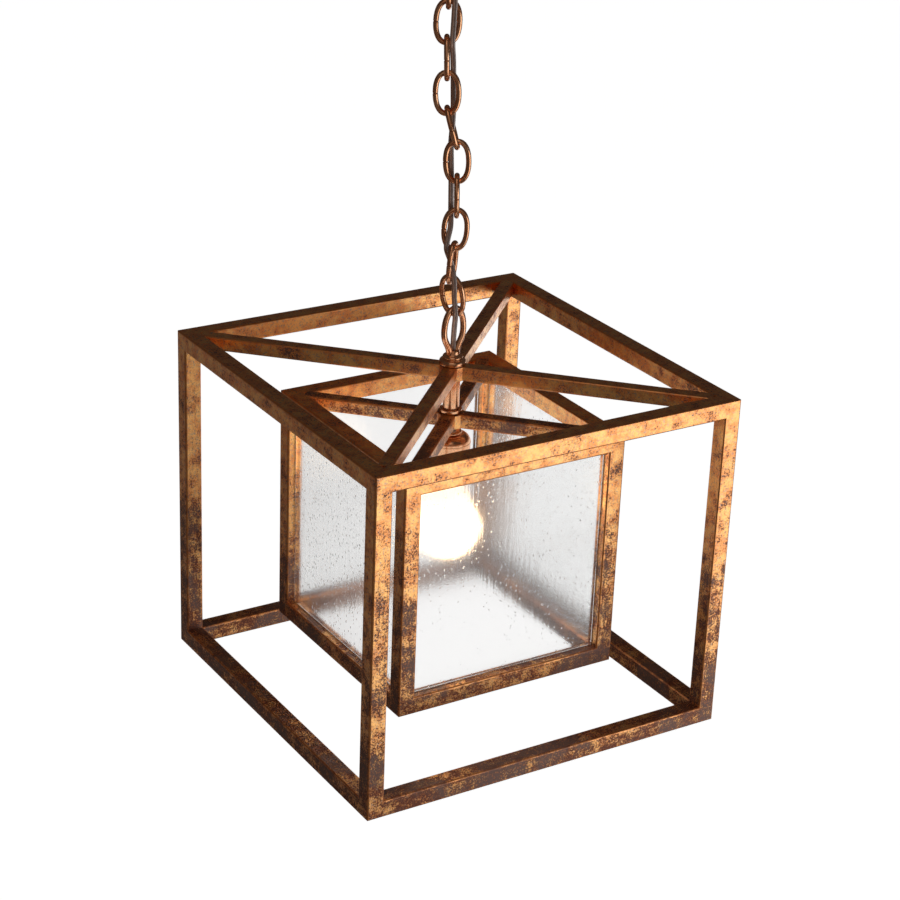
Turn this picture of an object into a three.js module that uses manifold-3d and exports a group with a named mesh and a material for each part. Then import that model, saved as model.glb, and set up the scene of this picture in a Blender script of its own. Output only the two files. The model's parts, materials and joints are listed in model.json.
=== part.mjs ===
// Open square-tube hanging lantern: a glazed inner cage inside a larger open frame, carried by a
// ten-link chain with its lamp wire laced through it, from a domed ceiling canopy.
// Millimetres, +Z up. The origin is the centre of the ceiling plane, so the whole lantern is below it.
// Each moving body is a group whose userData.joint gives its joint: type, point, axis and range.
import * as THREE from 'three';
import { mergeVertices } from 'three/addons/utils/BufferGeometryUtils.js';
import Module from 'manifold-3d';

const wasm = await Module();
wasm.setup();

// ---- clearances ----
const GAP = 0.3; // between two pieces that touch
const THREAD_GAP = 0.3; // round a screwed or sliding pipe
const PANE_GAP = 0.6; // round a pane in its opening

// ---- faceting ----
const ROUND_STEPS = 32; // round a turned piece
const CANOPY_STEPS = 36;
const BULB_STEPS = 24;
const TUBE_CORNER_STEPS = 2;
const STRAP_CORNER_STEPS = 12;
const LINK_STEPS = 28; // along a link
const LOOP_STEPS = 30; // along a loop
const WIRE_STEPS = 76; // along the lamp wire

// ---- outer frame ----
const OUTER_SIDE = 355.6;
const OUTER_HEIGHT = 311;
const TUBE = 15.9; // square tube, both frames
const TUBE_WALL = 1.2;
const TUBE_CORNER = 1.6;

// ---- inner cage ----
const INNER_SIDE = 219.8;
const INNER_HEIGHT = 221.5;
const INNER_DROP = 44.7; // top of the cage below the top of the outer frame

// ---- cross braces in the top of each frame ----
const BRACE = 12.7;
const BRACE_WALL = 1.2;

// ---- glass ----
const PANE_THICKNESS = 3;
const PANE_INSET = 7; // outer face of the cage to the outer face of the glass

// ---- stem ----
const PIPE_RADIUS = 5.5;
const PIPE_IN_LOOP = 7; // how far the pipe screws up into the fixture loop
const STEM_RADIUS = 7.35;
const COLLAR_RADIUS = 10;
const COLLAR_HEIGHT = 3.6;

// ---- hanging loops ----
const LOOP_LIMB = 5;
const LOOP_WIDTH = 28;
const LOOP_RISE = 50.6; // seat of the fixture loop to the middle of its top limb
const BELL_RADIUS = 11.7;
const BELL_RIM = 5;
const NECK_RADIUS = 6.2;
const NECK_HEIGHT = 13;
const NECK_EASE = 1; // radius lost over the top of the neck
const NECK_EASE_HEIGHT = 2.5;
const LOOP_WIDEST = 0.61; // share of the loop's rise at which it is widest
const FOOT_PULL = 0.45; // shares of a loop curve's height that its handles take
const SIDE_PULL = 0.5;
const SHOULDER_PULL = 0.56;
const CROWN_PULL = 0.565; // share of the half width that the crown's handle takes
const BELL_SLOPE = 3; // height of the slope from the bell's rim towards its neck
const LIMB_BORE = 5; // how far the wire's bore goes on above the neck
const LOOP_TURN = 40.3; // degrees from the plane of the first chain links

// ---- ceiling canopy ----
const CANOPY_RADIUS = 63.5;
const CANOPY_DEPTH = 25;
const CANOPY_WALL = 1.2;
const CANOPY_RIM = 3;
const CANOPY_FLAT = 14; // radius of the flat round the centre hole
const NUT_RADIUS = 12.5;
const NUT_HEIGHT = 7;
const THREAD_RADIUS = 4.9;
const STRAP_ROOM = 10.3; // end of the strap to the inside of the canopy
const STRAP_WIDTH = 19;
const STRAP_THICKNESS = 2.5;
const SLOT_LENGTH = 26;
const SLOT_WIDTH = 5;
const SLOT_CENTRE = 35;
const TOP_LOOP_BELL = 9;
const TOP_LOOP_RISE = 38;

// ---- chain ----
const LINK_LENGTH = 38.4;
const LINK_WIDTH = 23.9;
const LINK_WIRE = 4.2;
const LINK_SEAM = 0.4;
const CHAIN_TURN = -32.3; // degrees from +X to the plane of the first chain links
const LINKS = [
  // turn: degrees about the chain; lean: degrees that the lower end hangs to the side
  { turn: 90, lean: 0 },
  { turn: 0, lean: -1.2 },
  { turn: 90, lean: 2.3 },
  { turn: 0, lean: 2.1 },
  { turn: 90, lean: 16.3 },
  { turn: 0, lean: 1.9 },
  { turn: 90, lean: 1.5 },
  { turn: 0, lean: -2.3 },
  { turn: 75.3, lean: -3.5 },
  { turn: -24.7, lean: 9.6 },
];
const LINK_SWING = 15; // degrees each way, held by the laced wire
const LANTERN_SWING = 15;

// ---- lampholder and bulb ----
const CUP_WALL = 1;
const CUP_DROP = 4.3; // bare pipe between the cage's X and the cup
const KNOB_RADIUS = 10.7;
const KNOB_HEIGHT = 3.6;
const KNOB_EASE = 1.6;
const DOME_HEIGHT = 6.6;
const CUP_HEIGHT = 27.8; // straight part of the cup
const PIPE_IN_CUP = 6;
const CUP_LIP = 1; // how far the insulator stops short of the cup's rim, and the shell of the insulator's
const INSULATOR_WALL = 3.5;
const INSULATOR_FLOOR = 8.8;
const SHELL_WALL = 0.5;
const SCREW_GAP = 0.4; // between the bulb's base and the shell it screws into
const BULB_BASE_RADIUS = 13;
const BULB_BASE_HEIGHT = 24;
const BULB_BASE_WALL = 0.8;
const BASE_CONTACT_RADIUS = 4;
const BASE_CONTACT_HEIGHT = 1.5;
const BASE_TAPER = 4; // radius lost from the thread to the insulating ring
const BASE_TAPER_LOW = 5;
const BASE_TAPER_HIGH = 2.5;
const BASE_CEILING = 4; // inside top of the base above the end of the neck
const BULB_NECK_TUCK = 12; // how far the glass neck goes up into the base
const BULB_RADIUS = 30;
const BULB_LENGTH = 103; // contact to tip
const BULB_JOIN = 35; // degrees above the globe's widest ring where its neck curve begins
const BULB_NECK_LENGTH = 3; // straight neck below the base
const BULB_NECK_PULL = 0.42; // share of the curve's height that each of its handles takes
const GLASS_WALL = 1;
const RELAMP_DROP = 245; // how far the unscrewed bulb travels to clear the frame

// ---- lamp wire ----
const WIRE_RADIUS = 2;
const PIPE_WIRE_ROOM = 2; // between the wire and the bore of the pipe
const THREAD_WIRE_ROOM = 1.2; // between the wire and the bores that hold it closer
const WIRE_ROUTE = [
  // across the first links' plane, behind it, and height, from the middle of the canopy
  [0, 0, -0.6],
  [0, 0, -20],
  [0, 0, -38],
  [0.6, -1.4, -51],
  [5.1, -5.2, -67.5],
  [5.2, -5.2, -83],
  [5, -5, -98],
  [4.7, -5.2, -113],
  [4.3, -5, -129],
  [5.2, 0, -142],
  [5.8, 5, -154.5],
  [6.4, 5.1, -171],
  [6.9, 4.9, -186.5],
  [6.7, 3.6, -200.9],
  [6.1, 4.9, -215],
  [6.7, 5.2, -230],
  [7.3, 5, -244.7],
  [7.7, 5, -259.6],
  [8.1, 4.9, -275],
  [8.3, 0, -287],
  [6.4, -4.6, -297],
  [5.7, -4.9, -305],
  [10.4, -3.4, -319],
  [13.1, -6.7, -332.5],
  [14, -6.8, -348.4],
  [15.4, -6, -363],
  [14.8, -2, -379],
  [14.5, 0.9, -392],
  [14.5, 0.9, -411],
  [14.5, 0.9, -436],
  [14.5, 0.9, -462],
  [14.5, 0.9, -487],
];

// ---- sizes that follow from the ones above ----
const PIPE_BORE = WIRE_RADIUS + PIPE_WIRE_ROOM;
const THREAD_BORE = WIRE_RADIUS + THREAD_WIRE_ROOM;
const STRAP_LENGTH = 2 * (CANOPY_RADIUS - CANOPY_WALL - STRAP_ROOM);
const SHELL_INSIDE = BULB_BASE_RADIUS + SCREW_GAP;
const INSULATOR_INSIDE = SHELL_INSIDE + SHELL_WALL + GAP;
const INSULATOR_RADIUS = INSULATOR_INSIDE + INSULATOR_WALL;
const CUP_INSIDE = INSULATOR_RADIUS + GAP;
const CUP_RADIUS = CUP_INSIDE + CUP_WALL;

// ---- materials ----
function finish(color, roughness, metalness) {
  return () => new THREE.MeshStandardMaterial({ color, roughness, metalness });
}

const antiqueCopper = finish(0x9a5a2c, 0.45, 0.85);
const seededGlass = finish(0xdfe6e6, 0.1, 0);
const bulbGlass = finish(0xfff2d8, 0.2, 0);
const brightBrass = finish(0xc9a253, 0.35, 1);
const blackPhenolic = finish(0x1c1a19, 0.55, 0);
const clearPlastic = finish(0x8f6a43, 0.4, 0);
const zincSteel = finish(0xa9acad, 0.45, 0.9);

// ---- helpers ----
function mesh(name, geometry, material) {
  const piece = new THREE.Mesh(geometry, material());
  piece.name = name;
  return piece;
}

function toSolid(geometry) {
  const bare = geometry.clone();
  bare.deleteAttribute('normal');
  bare.deleteAttribute('uv');
  const merged = mergeVertices(bare, 1e-4);
  return new wasm.Manifold(new wasm.Mesh({
    numProp: 3,
    vertProperties: new Float32Array(merged.attributes.position.array),
    triVerts: new Uint32Array(merged.index.array),
  }));
}

function toGeometry(solid) {
  const { vertProperties, triVerts } = solid.getMesh();
  const geometry = new THREE.BufferGeometry();
  geometry.setAttribute('position', new THREE.BufferAttribute(vertProperties, 3));
  geometry.setIndex(new THREE.BufferAttribute(triVerts, 1));
  return geometry;
}

function lathe(points, segments = ROUND_STEPS) {
  const turned = new THREE.LatheGeometry(points.map(([r, z]) => new THREE.Vector2(r, z)), segments);
  return turned.rotateX(Math.PI / 2);
}

function ring(inner, outer, low, high) {
  return lathe([[inner, low], [outer, low], [outer, high], [inner, high], [inner, low]]);
}

function rod(radius, low, high) {
  return lathe([[0, low], [radius, low], [radius, high], [0, high]]);
}

function octagon(radius) {
  const corners = [];
  for (let i = 0; i < 8; i += 1) {
    const angle = (i + 0.5) * (Math.PI / 4);
    corners.push(new THREE.Vector2(radius * Math.cos(angle), radius * Math.sin(angle)));
  }
  return new THREE.Shape(corners);
}

function roundBar(path, diameter, steps) {
  return new THREE.ExtrudeGeometry(octagon(diameter / 2), { steps, extrudePath: path });
}

function squareOutline(size, corner) {
  const half = size / 2;
  const outline = new THREE.Shape();
  outline.moveTo(half - corner, -half);
  outline.absarc(half - corner, -half + corner, corner, -Math.PI / 2, 0);
  outline.absarc(half - corner, half - corner, corner, 0, Math.PI / 2);
  outline.absarc(-half + corner, half - corner, corner, Math.PI / 2, Math.PI);
  outline.absarc(-half + corner, -half + corner, corner, Math.PI, Math.PI * 1.5);
  outline.closePath();
  return outline;
}

// Hollow square tube along X, centred, its two ends cut square.
function squareTube(length, size, wall) {
  const outline = squareOutline(size, TUBE_CORNER);
  const bore = size / 2 - wall;
  outline.holes.push(new THREE.Path([
    new THREE.Vector2(-bore, -bore),
    new THREE.Vector2(-bore, bore),
    new THREE.Vector2(bore, bore),
    new THREE.Vector2(bore, -bore),
  ]));
  const tube = new THREE.ExtrudeGeometry(outline, {
    depth: length,
    bevelEnabled: false,
    curveSegments: TUBE_CORNER_STEPS,
  });
  tube.translate(0, 0, -length / 2);
  return tube.rotateY(Math.PI / 2);
}

// The same tube with both ends mitred at 45 degrees: full length on its +Y face.
function mitredTube(length, size, wall) {
  const tube = squareTube(length, size, wall);
  const place = tube.attributes.position;
  for (let i = 0; i < place.count; i += 1) {
    const x = place.getX(i);
    place.setX(i, x - Math.sign(x) * (size / 2 - place.getY(i)));
  }
  return tube;
}

// ---- one square frame: mitred rails top and bottom, posts, and a cross brace flush with the top ----
function braceArm(start, reach) {
  const bar = squareTube(reach - start, BRACE, BRACE_WALL);
  bar.translate((start + reach) / 2, 0, 0);
  const clear = BRACE;
  const plan = new THREE.Shape([
    new THREE.Vector2(start, -clear),
    new THREE.Vector2(reach - clear, -clear),
    new THREE.Vector2(reach, 0),
    new THREE.Vector2(reach - clear, clear),
    new THREE.Vector2(start, clear),
  ]);
  const pointed = new THREE.ExtrudeGeometry(plan, { depth: BRACE * 2, bevelEnabled: false });
  pointed.translate(0, 0, -BRACE);
  return toGeometry(toSolid(bar).intersect(toSolid(pointed)));
}

function squareFrame(name, side, height, hubRadius) {
  const frame = new THREE.Group();
  const railLength = side - GAP * Math.SQRT2;
  const railOffset = (side - TUBE) / 2;
  const postLength = height - 2 * (TUBE + GAP);
  const postReach = railOffset * Math.SQRT2;
  const armStart = Math.max(hubRadius, BRACE / 2) + GAP;
  const armReach = (side / 2 - TUBE - GAP) * Math.SQRT2;
  const walls = ['front', 'right', 'back', 'left'];
  walls.forEach((wall, i) => {
    const quarter = (i - 2) * (Math.PI / 2);
    const levels = { top: -TUBE / 2, bottom: TUBE / 2 - height };
    for (const [level, z] of Object.entries(levels)) {
      const tube = mitredTube(railLength, TUBE, TUBE_WALL);
      const rail = mesh(`${name}_${level}_rail_${wall}`, tube, antiqueCopper);
      rail.rotation.z = quarter;
      rail.position.set(-railOffset * Math.sin(quarter), railOffset * Math.cos(quarter), z);
      frame.add(rail);
    }
    const diagonal = quarter + Math.PI / 4;
    const post = mesh(`${name}_post_${i + 1}`, squareTube(postLength, TUBE, TUBE_WALL), antiqueCopper);
    post.rotation.y = Math.PI / 2;
    post.position.set(postReach * Math.cos(diagonal), postReach * Math.sin(diagonal), -height / 2);
    frame.add(post);
    const arm = mesh(`${name}_brace_${i + 1}`, braceArm(armStart, armReach), antiqueCopper);
    arm.rotation.z = diagonal;
    arm.position.z = -BRACE / 2;
    frame.add(arm);
  });
  return frame;
}

// ---- glass panes in the cage's four openings ----
function panes() {
  const width = INNER_SIDE - 2 * (TUBE + PANE_GAP);
  const height = INNER_HEIGHT - 2 * (TUBE + PANE_GAP);
  const offset = INNER_SIDE / 2 - PANE_INSET - PANE_THICKNESS / 2;
  return ['front', 'right', 'back', 'left'].map((wall, i) => {
    const quarter = (i - 2) * (Math.PI / 2);
    const sheet = new THREE.BoxGeometry(width, PANE_THICKNESS, height);
    const pane = mesh(`glass_pane_${wall}`, sheet, seededGlass);
    pane.rotation.z = quarter;
    pane.position.set(-offset * Math.sin(quarter), offset * Math.cos(quarter), -INNER_HEIGHT / 2);
    return pane;
  });
}

// ---- hanging loops ----
// Middle line of a loop in the XZ plane, from its left foot over the top to its right foot. It is
// widest a little above half of its rise and draws in to its neck below and to its crown above.
function loopPath(rise) {
  const half = (LOOP_WIDTH - LOOP_LIMB) / 2;
  const foot = NECK_RADIUS - LOOP_LIMB / 2;
  const low = NECK_HEIGHT - LOOP_LIMB;
  const widest = rise * LOOP_WIDEST;
  const side = (sign) => [
    new THREE.Vector3(sign * foot, 0, low),
    new THREE.Vector3(sign * foot, 0, low + (widest - low) * FOOT_PULL),
    new THREE.Vector3(sign * half, 0, widest - (widest - low) * SIDE_PULL),
    new THREE.Vector3(sign * half, 0, widest),
  ];
  const crown = (sign) => [
    new THREE.Vector3(sign * half, 0, widest),
    new THREE.Vector3(sign * half, 0, widest + (rise - widest) * SHOULDER_PULL),
    new THREE.Vector3(sign * half * CROWN_PULL, 0, rise),
    new THREE.Vector3(0, 0, rise),
  ];
  const path = new THREE.CurvePath();
  path.add(new THREE.CubicBezierCurve3(...side(-1)));
  path.add(new THREE.CubicBezierCurve3(...crown(-1)));
  path.add(new THREE.CubicBezierCurve3(...crown(1).reverse()));
  path.add(new THREE.CubicBezierCurve3(...side(1).reverse()));
  return path;
}

// A cast loop standing on its bell collar, with a threaded foot below it, drilled for the wire.
function hangingLoop(bellRadius, rise, foot, bores) {
  const bell = lathe([
    [0, 0],
    [bellRadius, 0],
    [bellRadius, BELL_RIM],
    [(bellRadius + NECK_RADIUS) / 2, BELL_RIM + BELL_SLOPE],
    [NECK_RADIUS, NECK_HEIGHT - NECK_EASE_HEIGHT],
    [NECK_RADIUS - NECK_EASE, NECK_HEIGHT],
    [0, NECK_HEIGHT],
  ]);
  let solid = toSolid(bell).add(toSolid(roundBar(loopPath(rise), LOOP_LIMB, LOOP_STEPS)));
  if (foot > 0) {
    solid = solid.add(toSolid(rod(THREAD_RADIUS, -foot, BELL_RIM)));
  }
  for (const [radius, low, high] of bores) {
    solid = solid.subtract(toSolid(rod(radius, low, high)));
  }
  return toGeometry(solid);
}

function fixtureLoop() {
  const bores = [
    [PIPE_RADIUS + THREAD_GAP, -GAP, PIPE_IN_LOOP],
    [PIPE_BORE, PIPE_IN_LOOP - GAP, NECK_HEIGHT + LIMB_BORE],
  ];
  const loop = mesh('fixture_loop', hangingLoop(BELL_RADIUS, LOOP_RISE, 0, bores), antiqueCopper);
  loop.rotation.z = THREE.MathUtils.degToRad(CHAIN_TURN + LOOP_TURN);
  loop.position.z = GAP;
  return loop;
}

function canopyLoop(seat) {
  const foot = seat - GAP;
  const bores = [[THREAD_BORE, -foot - GAP, NECK_HEIGHT + LIMB_BORE]];
  const loop = mesh('canopy_loop', hangingLoop(TOP_LOOP_BELL, TOP_LOOP_RISE, foot, bores), antiqueCopper);
  loop.rotation.set(Math.PI, 0, THREE.MathUtils.degToRad(CHAIN_TURN), 'ZXY');
  loop.position.z = -seat;
  return loop;
}

// ---- ceiling canopy ----
function canopyShell() {
  const outer = [];
  const inner = [];
  const bend = 6;
  const low = CANOPY_RIM - CANOPY_DEPTH;
  for (let i = 0; i <= bend; i += 1) {
    const angle = (i / bend) * (Math.PI / 2);
    const out = CANOPY_FLAT + (CANOPY_RADIUS - CANOPY_FLAT) * Math.cos(angle);
    outer.push([out, -CANOPY_RIM + low * Math.sin(angle)]);
    const inside = CANOPY_FLAT + (CANOPY_RADIUS - CANOPY_WALL - CANOPY_FLAT) * Math.cos(angle);
    inner.push([inside, -CANOPY_RIM + (low + CANOPY_WALL) * Math.sin(angle)]);
  }
  const hole = THREAD_RADIUS + THREAD_GAP;
  return lathe([
    [CANOPY_RADIUS, 0],
    ...outer,
    [hole, -CANOPY_DEPTH],
    [hole, CANOPY_WALL - CANOPY_DEPTH],
    ...inner.reverse(),
    [CANOPY_RADIUS - CANOPY_WALL, 0],
    [CANOPY_RADIUS, 0],
  ].reverse(), CANOPY_STEPS);
}

function mountingStrap() {
  const half = STRAP_WIDTH / 2;
  const reach = STRAP_LENGTH / 2 - half;
  const bar = new THREE.Shape();
  bar.absarc(reach, 0, half, -Math.PI / 2, Math.PI / 2);
  bar.absarc(-reach, 0, half, Math.PI / 2, Math.PI * 1.5);
  bar.closePath();
  const hole = new THREE.Path();
  hole.absarc(0, 0, THREAD_RADIUS + THREAD_GAP, 0, Math.PI * 2, true);
  bar.holes.push(hole);
  for (const side of [-1, 1]) {
    const slot = new THREE.Path();
    const end = (SLOT_LENGTH - SLOT_WIDTH) / 2;
    const middle = side * SLOT_CENTRE;
    slot.absarc(middle - end, 0, SLOT_WIDTH / 2, Math.PI * 1.5, Math.PI / 2, true);
    slot.absarc(middle + end, 0, SLOT_WIDTH / 2, Math.PI / 2, -Math.PI / 2, true);
    slot.closePath();
    bar.holes.push(slot);
  }
  const strap = new THREE.ExtrudeGeometry(bar, {
    depth: STRAP_THICKNESS,
    bevelEnabled: false,
    curveSegments: STRAP_CORNER_STEPS,
  });
  return strap.translate(0, 0, -STRAP_THICKNESS);
}

function canopyParts() {
  const seat = CANOPY_DEPTH + GAP + NUT_HEIGHT + GAP;
  const nutBore = THREAD_RADIUS + THREAD_GAP;
  const nut = ring(nutBore, NUT_RADIUS, GAP - seat, -CANOPY_DEPTH - GAP);
  return [
    mesh('canopy', canopyShell(), antiqueCopper),
    mesh('mounting_strap', mountingStrap(), zincSteel),
    mesh('canopy_collar_nut', nut, antiqueCopper),
    canopyLoop(seat),
  ];
}

// ---- chain ----
// Middle line of a link in the XZ plane, open at the butt seam halfway down its left side.
class LinkPath extends THREE.Curve {
  getPoint(t, target = new THREE.Vector3()) {
    const bend = (LINK_WIDTH - LINK_WIRE) / 2;
    const straight = LINK_LENGTH - LINK_WIDTH;
    const round = Math.PI * bend;
    const whole = 2 * (straight + round);
    const along = LINK_SEAM / 2 + t * (whole - LINK_SEAM);
    const half = straight / 2;
    if (along < half) {
      return target.set(-bend, 0, along);
    }
    if (along < half + round) {
      const angle = (along - half) / bend;
      return target.set(-bend * Math.cos(angle), 0, half + bend * Math.sin(angle));
    }
    if (along < half + round + straight) {
      return target.set(bend, 0, half - (along - half - round));
    }
    if (along < half + 2 * round + straight) {
      const angle = (along - half - round - straight) / bend;
      return target.set(bend * Math.cos(angle), 0, -half - bend * Math.sin(angle));
    }
    return target.set(-bend, 0, along - whole);
  }
}

function swingJoint(point, axis, swing) {
  return { type: 'hinge', point, axis, rangeDegrees: [-swing, swing] };
}

// Hangs one bar in another: the middle of the lower bar's wire, resting in the upper bar's bend.
function hangFrom(upper, lowerAcross, lowerWire) {
  const lift = new THREE.Vector3().crossVectors(upper.across, lowerAcross).normalize();
  if (lift.z < 0) {
    lift.negate();
  }
  return upper.point.clone().addScaledVector(lift, (upper.wire + lowerWire) / 2 + GAP);
}

// The links, each in its own body, and the bend that the lantern's loop hangs in.
function chain(upper) {
  const geometry = roundBar(new LinkPath(), LINK_WIRE, LINK_STEPS);
  const reach = (LINK_LENGTH - LINK_WIRE) / 2;
  const bodies = LINKS.map(({ turn, lean }, i) => {
    const tilt = -THREE.MathUtils.degToRad(lean);
    const attitude = new THREE.Euler(0, tilt, THREE.MathUtils.degToRad(turn), 'YZX');
    const across = new THREE.Vector3(1, 0, 0).applyEuler(attitude);
    const down = new THREE.Vector3(0, 0, -1).applyEuler(attitude);
    const link = mesh(`chain_link_${String(i + 1).padStart(2, '0')}`, geometry.clone(), antiqueCopper);
    link.rotation.copy(attitude);
    link.position.copy(hangFrom(upper, across, LINK_WIRE)).addScaledVector(down, reach);
    const body = new THREE.Group();
    body.userData.joint = swingJoint(upper.point, upper.across, LINK_SWING);
    body.add(link);
    upper = { point: link.position.clone().addScaledVector(down, reach), across, wire: LINK_WIRE };
    return body;
  });
  return { bodies, end: upper };
}

// ---- lampholder and bulb, all hanging from the pipe ----
function socketCup(top) {
  const bore = PIPE_RADIUS + THREAD_GAP;
  const shoulder = top - KNOB_HEIGHT;
  const rim = shoulder - DOME_HEIGHT;
  const dome = (radius, drop) => {
    const points = [];
    for (let i = 1; i <= 4; i += 1) {
      const angle = (i / 4) * (Math.PI / 2);
      const out = KNOB_RADIUS + (radius - KNOB_RADIUS) * Math.sin(angle);
      points.push([out, shoulder - drop - (DOME_HEIGHT - drop) * (1 - Math.cos(angle))]);
    }
    return points;
  };
  return lathe([
    [bore, top],
    [KNOB_RADIUS - KNOB_EASE, top],
    [KNOB_RADIUS, top - KNOB_EASE],
    [KNOB_RADIUS, shoulder],
    ...dome(CUP_RADIUS, 0),
    [CUP_RADIUS, rim - CUP_HEIGHT],
    [CUP_INSIDE, rim - CUP_HEIGHT],
    ...dome(CUP_INSIDE, CUP_WALL).reverse(),
    [bore, shoulder - CUP_WALL],
    [bore, top],
  ].reverse());
}

function insulator(top, low) {
  return lathe([
    [THREAD_BORE, top - INSULATOR_FLOOR],
    [INSULATOR_INSIDE, top - INSULATOR_FLOOR],
    [INSULATOR_INSIDE, low],
    [INSULATOR_RADIUS, low],
    [INSULATOR_RADIUS, top],
    [THREAD_BORE, top],
    [THREAD_BORE, top - INSULATOR_FLOOR],
  ]);
}

function screwShell(top, low) {
  return ring(SHELL_INSIDE, SHELL_INSIDE + SHELL_WALL, low, top);
}

function bulbBase(contact) {
  const inside = BULB_BASE_RADIUS - BULB_BASE_WALL;
  const ceiling = contact - BULB_NECK_TUCK + BASE_CEILING;
  return lathe([
    [0, ceiling],
    [inside, ceiling],
    [inside, contact - BULB_BASE_HEIGHT],
    [BULB_BASE_RADIUS, contact - BULB_BASE_HEIGHT],
    [BULB_BASE_RADIUS, contact - BASE_TAPER_LOW],
    [BULB_BASE_RADIUS - BASE_TAPER, contact - BASE_TAPER_HIGH],
    [BASE_CONTACT_RADIUS, contact - BASE_CONTACT_HEIGHT],
    [BASE_CONTACT_RADIUS, contact],
    [0, contact],
  ]);
}

// Half outline of the bulb, from its tip up to the top of its neck, inset by a wall.
function bulbOutline(contact, inset) {
  const radius = BULB_RADIUS - inset;
  const centre = contact - BULB_LENGTH + BULB_RADIUS;
  const neck = BULB_BASE_RADIUS - BULB_BASE_WALL - GAP - inset;
  const neckEnd = contact - BULB_BASE_HEIGHT - BULB_NECK_LENGTH;
  const join = THREE.MathUtils.degToRad(BULB_JOIN);
  const outline = [];
  for (let i = 0; i <= 8; i += 1) {
    const angle = -Math.PI / 2 + (i / 8) * (join + Math.PI / 2);
    outline.push([i === 0 ? 0 : radius * Math.cos(angle), centre + radius * Math.sin(angle)]);
  }
  const [endOut, endHigh] = outline.at(-1);
  const pull = (neckEnd - endHigh) * BULB_NECK_PULL;
  const shoulder = new THREE.CubicBezierCurve(
    new THREE.Vector2(endOut, endHigh),
    new THREE.Vector2(endOut - pull * Math.sin(join), endHigh + pull * Math.cos(join)),
    new THREE.Vector2(neck, neckEnd - pull),
    new THREE.Vector2(neck, neckEnd),
  );
  for (const point of shoulder.getPoints(4).slice(1)) {
    outline.push([point.x, point.y]);
  }
  outline.push([neck, contact - BULB_NECK_TUCK]);
  return outline;
}

function bulbGlassShell(contact) {
  return lathe([...bulbOutline(contact, 0), ...bulbOutline(contact, GLASS_WALL).reverse()], BULB_STEPS);
}

function bulbBody(contact) {
  const body = new THREE.Group();
  body.userData.joint = {
    type: 'slide',
    axis: new THREE.Vector3(0, 0, -1),
    range: [0, RELAMP_DROP],
  };
  body.add(mesh('bulb_base', bulbBase(contact), brightBrass));
  body.add(mesh('bulb_glass', bulbGlassShell(contact), bulbGlass));
  return body;
}

// ---- lantern: everything that swings from the last link ----
function lantern() {
  const body = new THREE.Group();
  body.add(squareFrame('outer', OUTER_SIDE, OUTER_HEIGHT, STEM_RADIUS));
  const cage = squareFrame('inner', INNER_SIDE, INNER_HEIGHT, PIPE_RADIUS);
  cage.add(...panes());
  cage.position.z = -INNER_DROP;
  body.add(cage);

  const pipeRoom = PIPE_RADIUS + THREAD_GAP;
  const collarLow = GAP - INNER_DROP;
  const collarTop = collarLow + COLLAR_HEIGHT;
  const cupTop = -INNER_DROP - BRACE - CUP_DROP;
  const rim = cupTop - KNOB_HEIGHT - DOME_HEIGHT;
  const insulatorTop = rim - GAP;
  const insulatorLow = rim - CUP_HEIGHT + CUP_LIP;
  const floor = insulatorTop - INSULATOR_FLOOR;
  body.add(fixtureLoop());
  body.add(mesh('stem_tube', ring(pipeRoom, STEM_RADIUS, collarTop + GAP, 0), antiqueCopper));
  body.add(mesh('lower_collar', ring(pipeRoom, COLLAR_RADIUS, collarLow, collarTop), antiqueCopper));
  const pipe = ring(PIPE_BORE, PIPE_RADIUS, cupTop - PIPE_IN_CUP, PIPE_IN_LOOP);
  body.add(mesh('threaded_pipe', pipe, zincSteel));
  body.add(mesh('socket_cup', socketCup(cupTop), antiqueCopper));
  body.add(mesh('socket_insulator', insulator(insulatorTop, insulatorLow), blackPhenolic));
  body.add(mesh('socket_screw_shell', screwShell(floor - GAP, insulatorLow + CUP_LIP), brightBrass));
  body.add(bulbBody(floor - GAP));
  return body;
}

function lampWire() {
  const route = new THREE.CatmullRomCurve3(WIRE_ROUTE.map((point) => new THREE.Vector3(...point)));
  return mesh('lamp_wire', roundBar(route, 2 * WIRE_RADIUS, WIRE_STEPS), clearPlastic);
}

// ---- assembly ----
const hangingLantern = new THREE.Group();
hangingLantern.name = 'hanging_lantern';
hangingLantern.add(...canopyParts());

// The chain and its wire, laid out in the plane of the first links.
const suspension = new THREE.Group();
suspension.rotation.z = THREE.MathUtils.degToRad(CHAIN_TURN);
const topBend = {
  point: new THREE.Vector3(0, 0, -(CANOPY_DEPTH + GAP + NUT_HEIGHT + GAP + TOP_LOOP_RISE)),
  across: new THREE.Vector3(1, 0, 0),
  wire: LOOP_LIMB,
};
const { bodies, end } = chain(topBend);
suspension.add(...bodies, lampWire());
hangingLantern.add(suspension);

const loopAcross = new THREE.Vector3(1, 0, 0);
loopAcross.applyAxisAngle(new THREE.Vector3(0, 0, 1), THREE.MathUtils.degToRad(LOOP_TURN));
const seat = hangFrom(end, loopAcross, LOOP_LIMB);
seat.applyEuler(suspension.rotation);
const hung = lantern();
hung.position.copy(seat).z -= LOOP_RISE + GAP;
hung.userData.joint = swingJoint(end.point, end.across, LANTERN_SWING);
hangingLantern.add(hung);

export default hangingLantern;
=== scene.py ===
# Hanging lantern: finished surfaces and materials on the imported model, with its floor, lights and camera.
# Metres, +Z up; the origin is the centre of the ceiling plane.
import json
import math

import bmesh
import bpy
import numpy as np
from mathutils import Matrix, Vector


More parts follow.
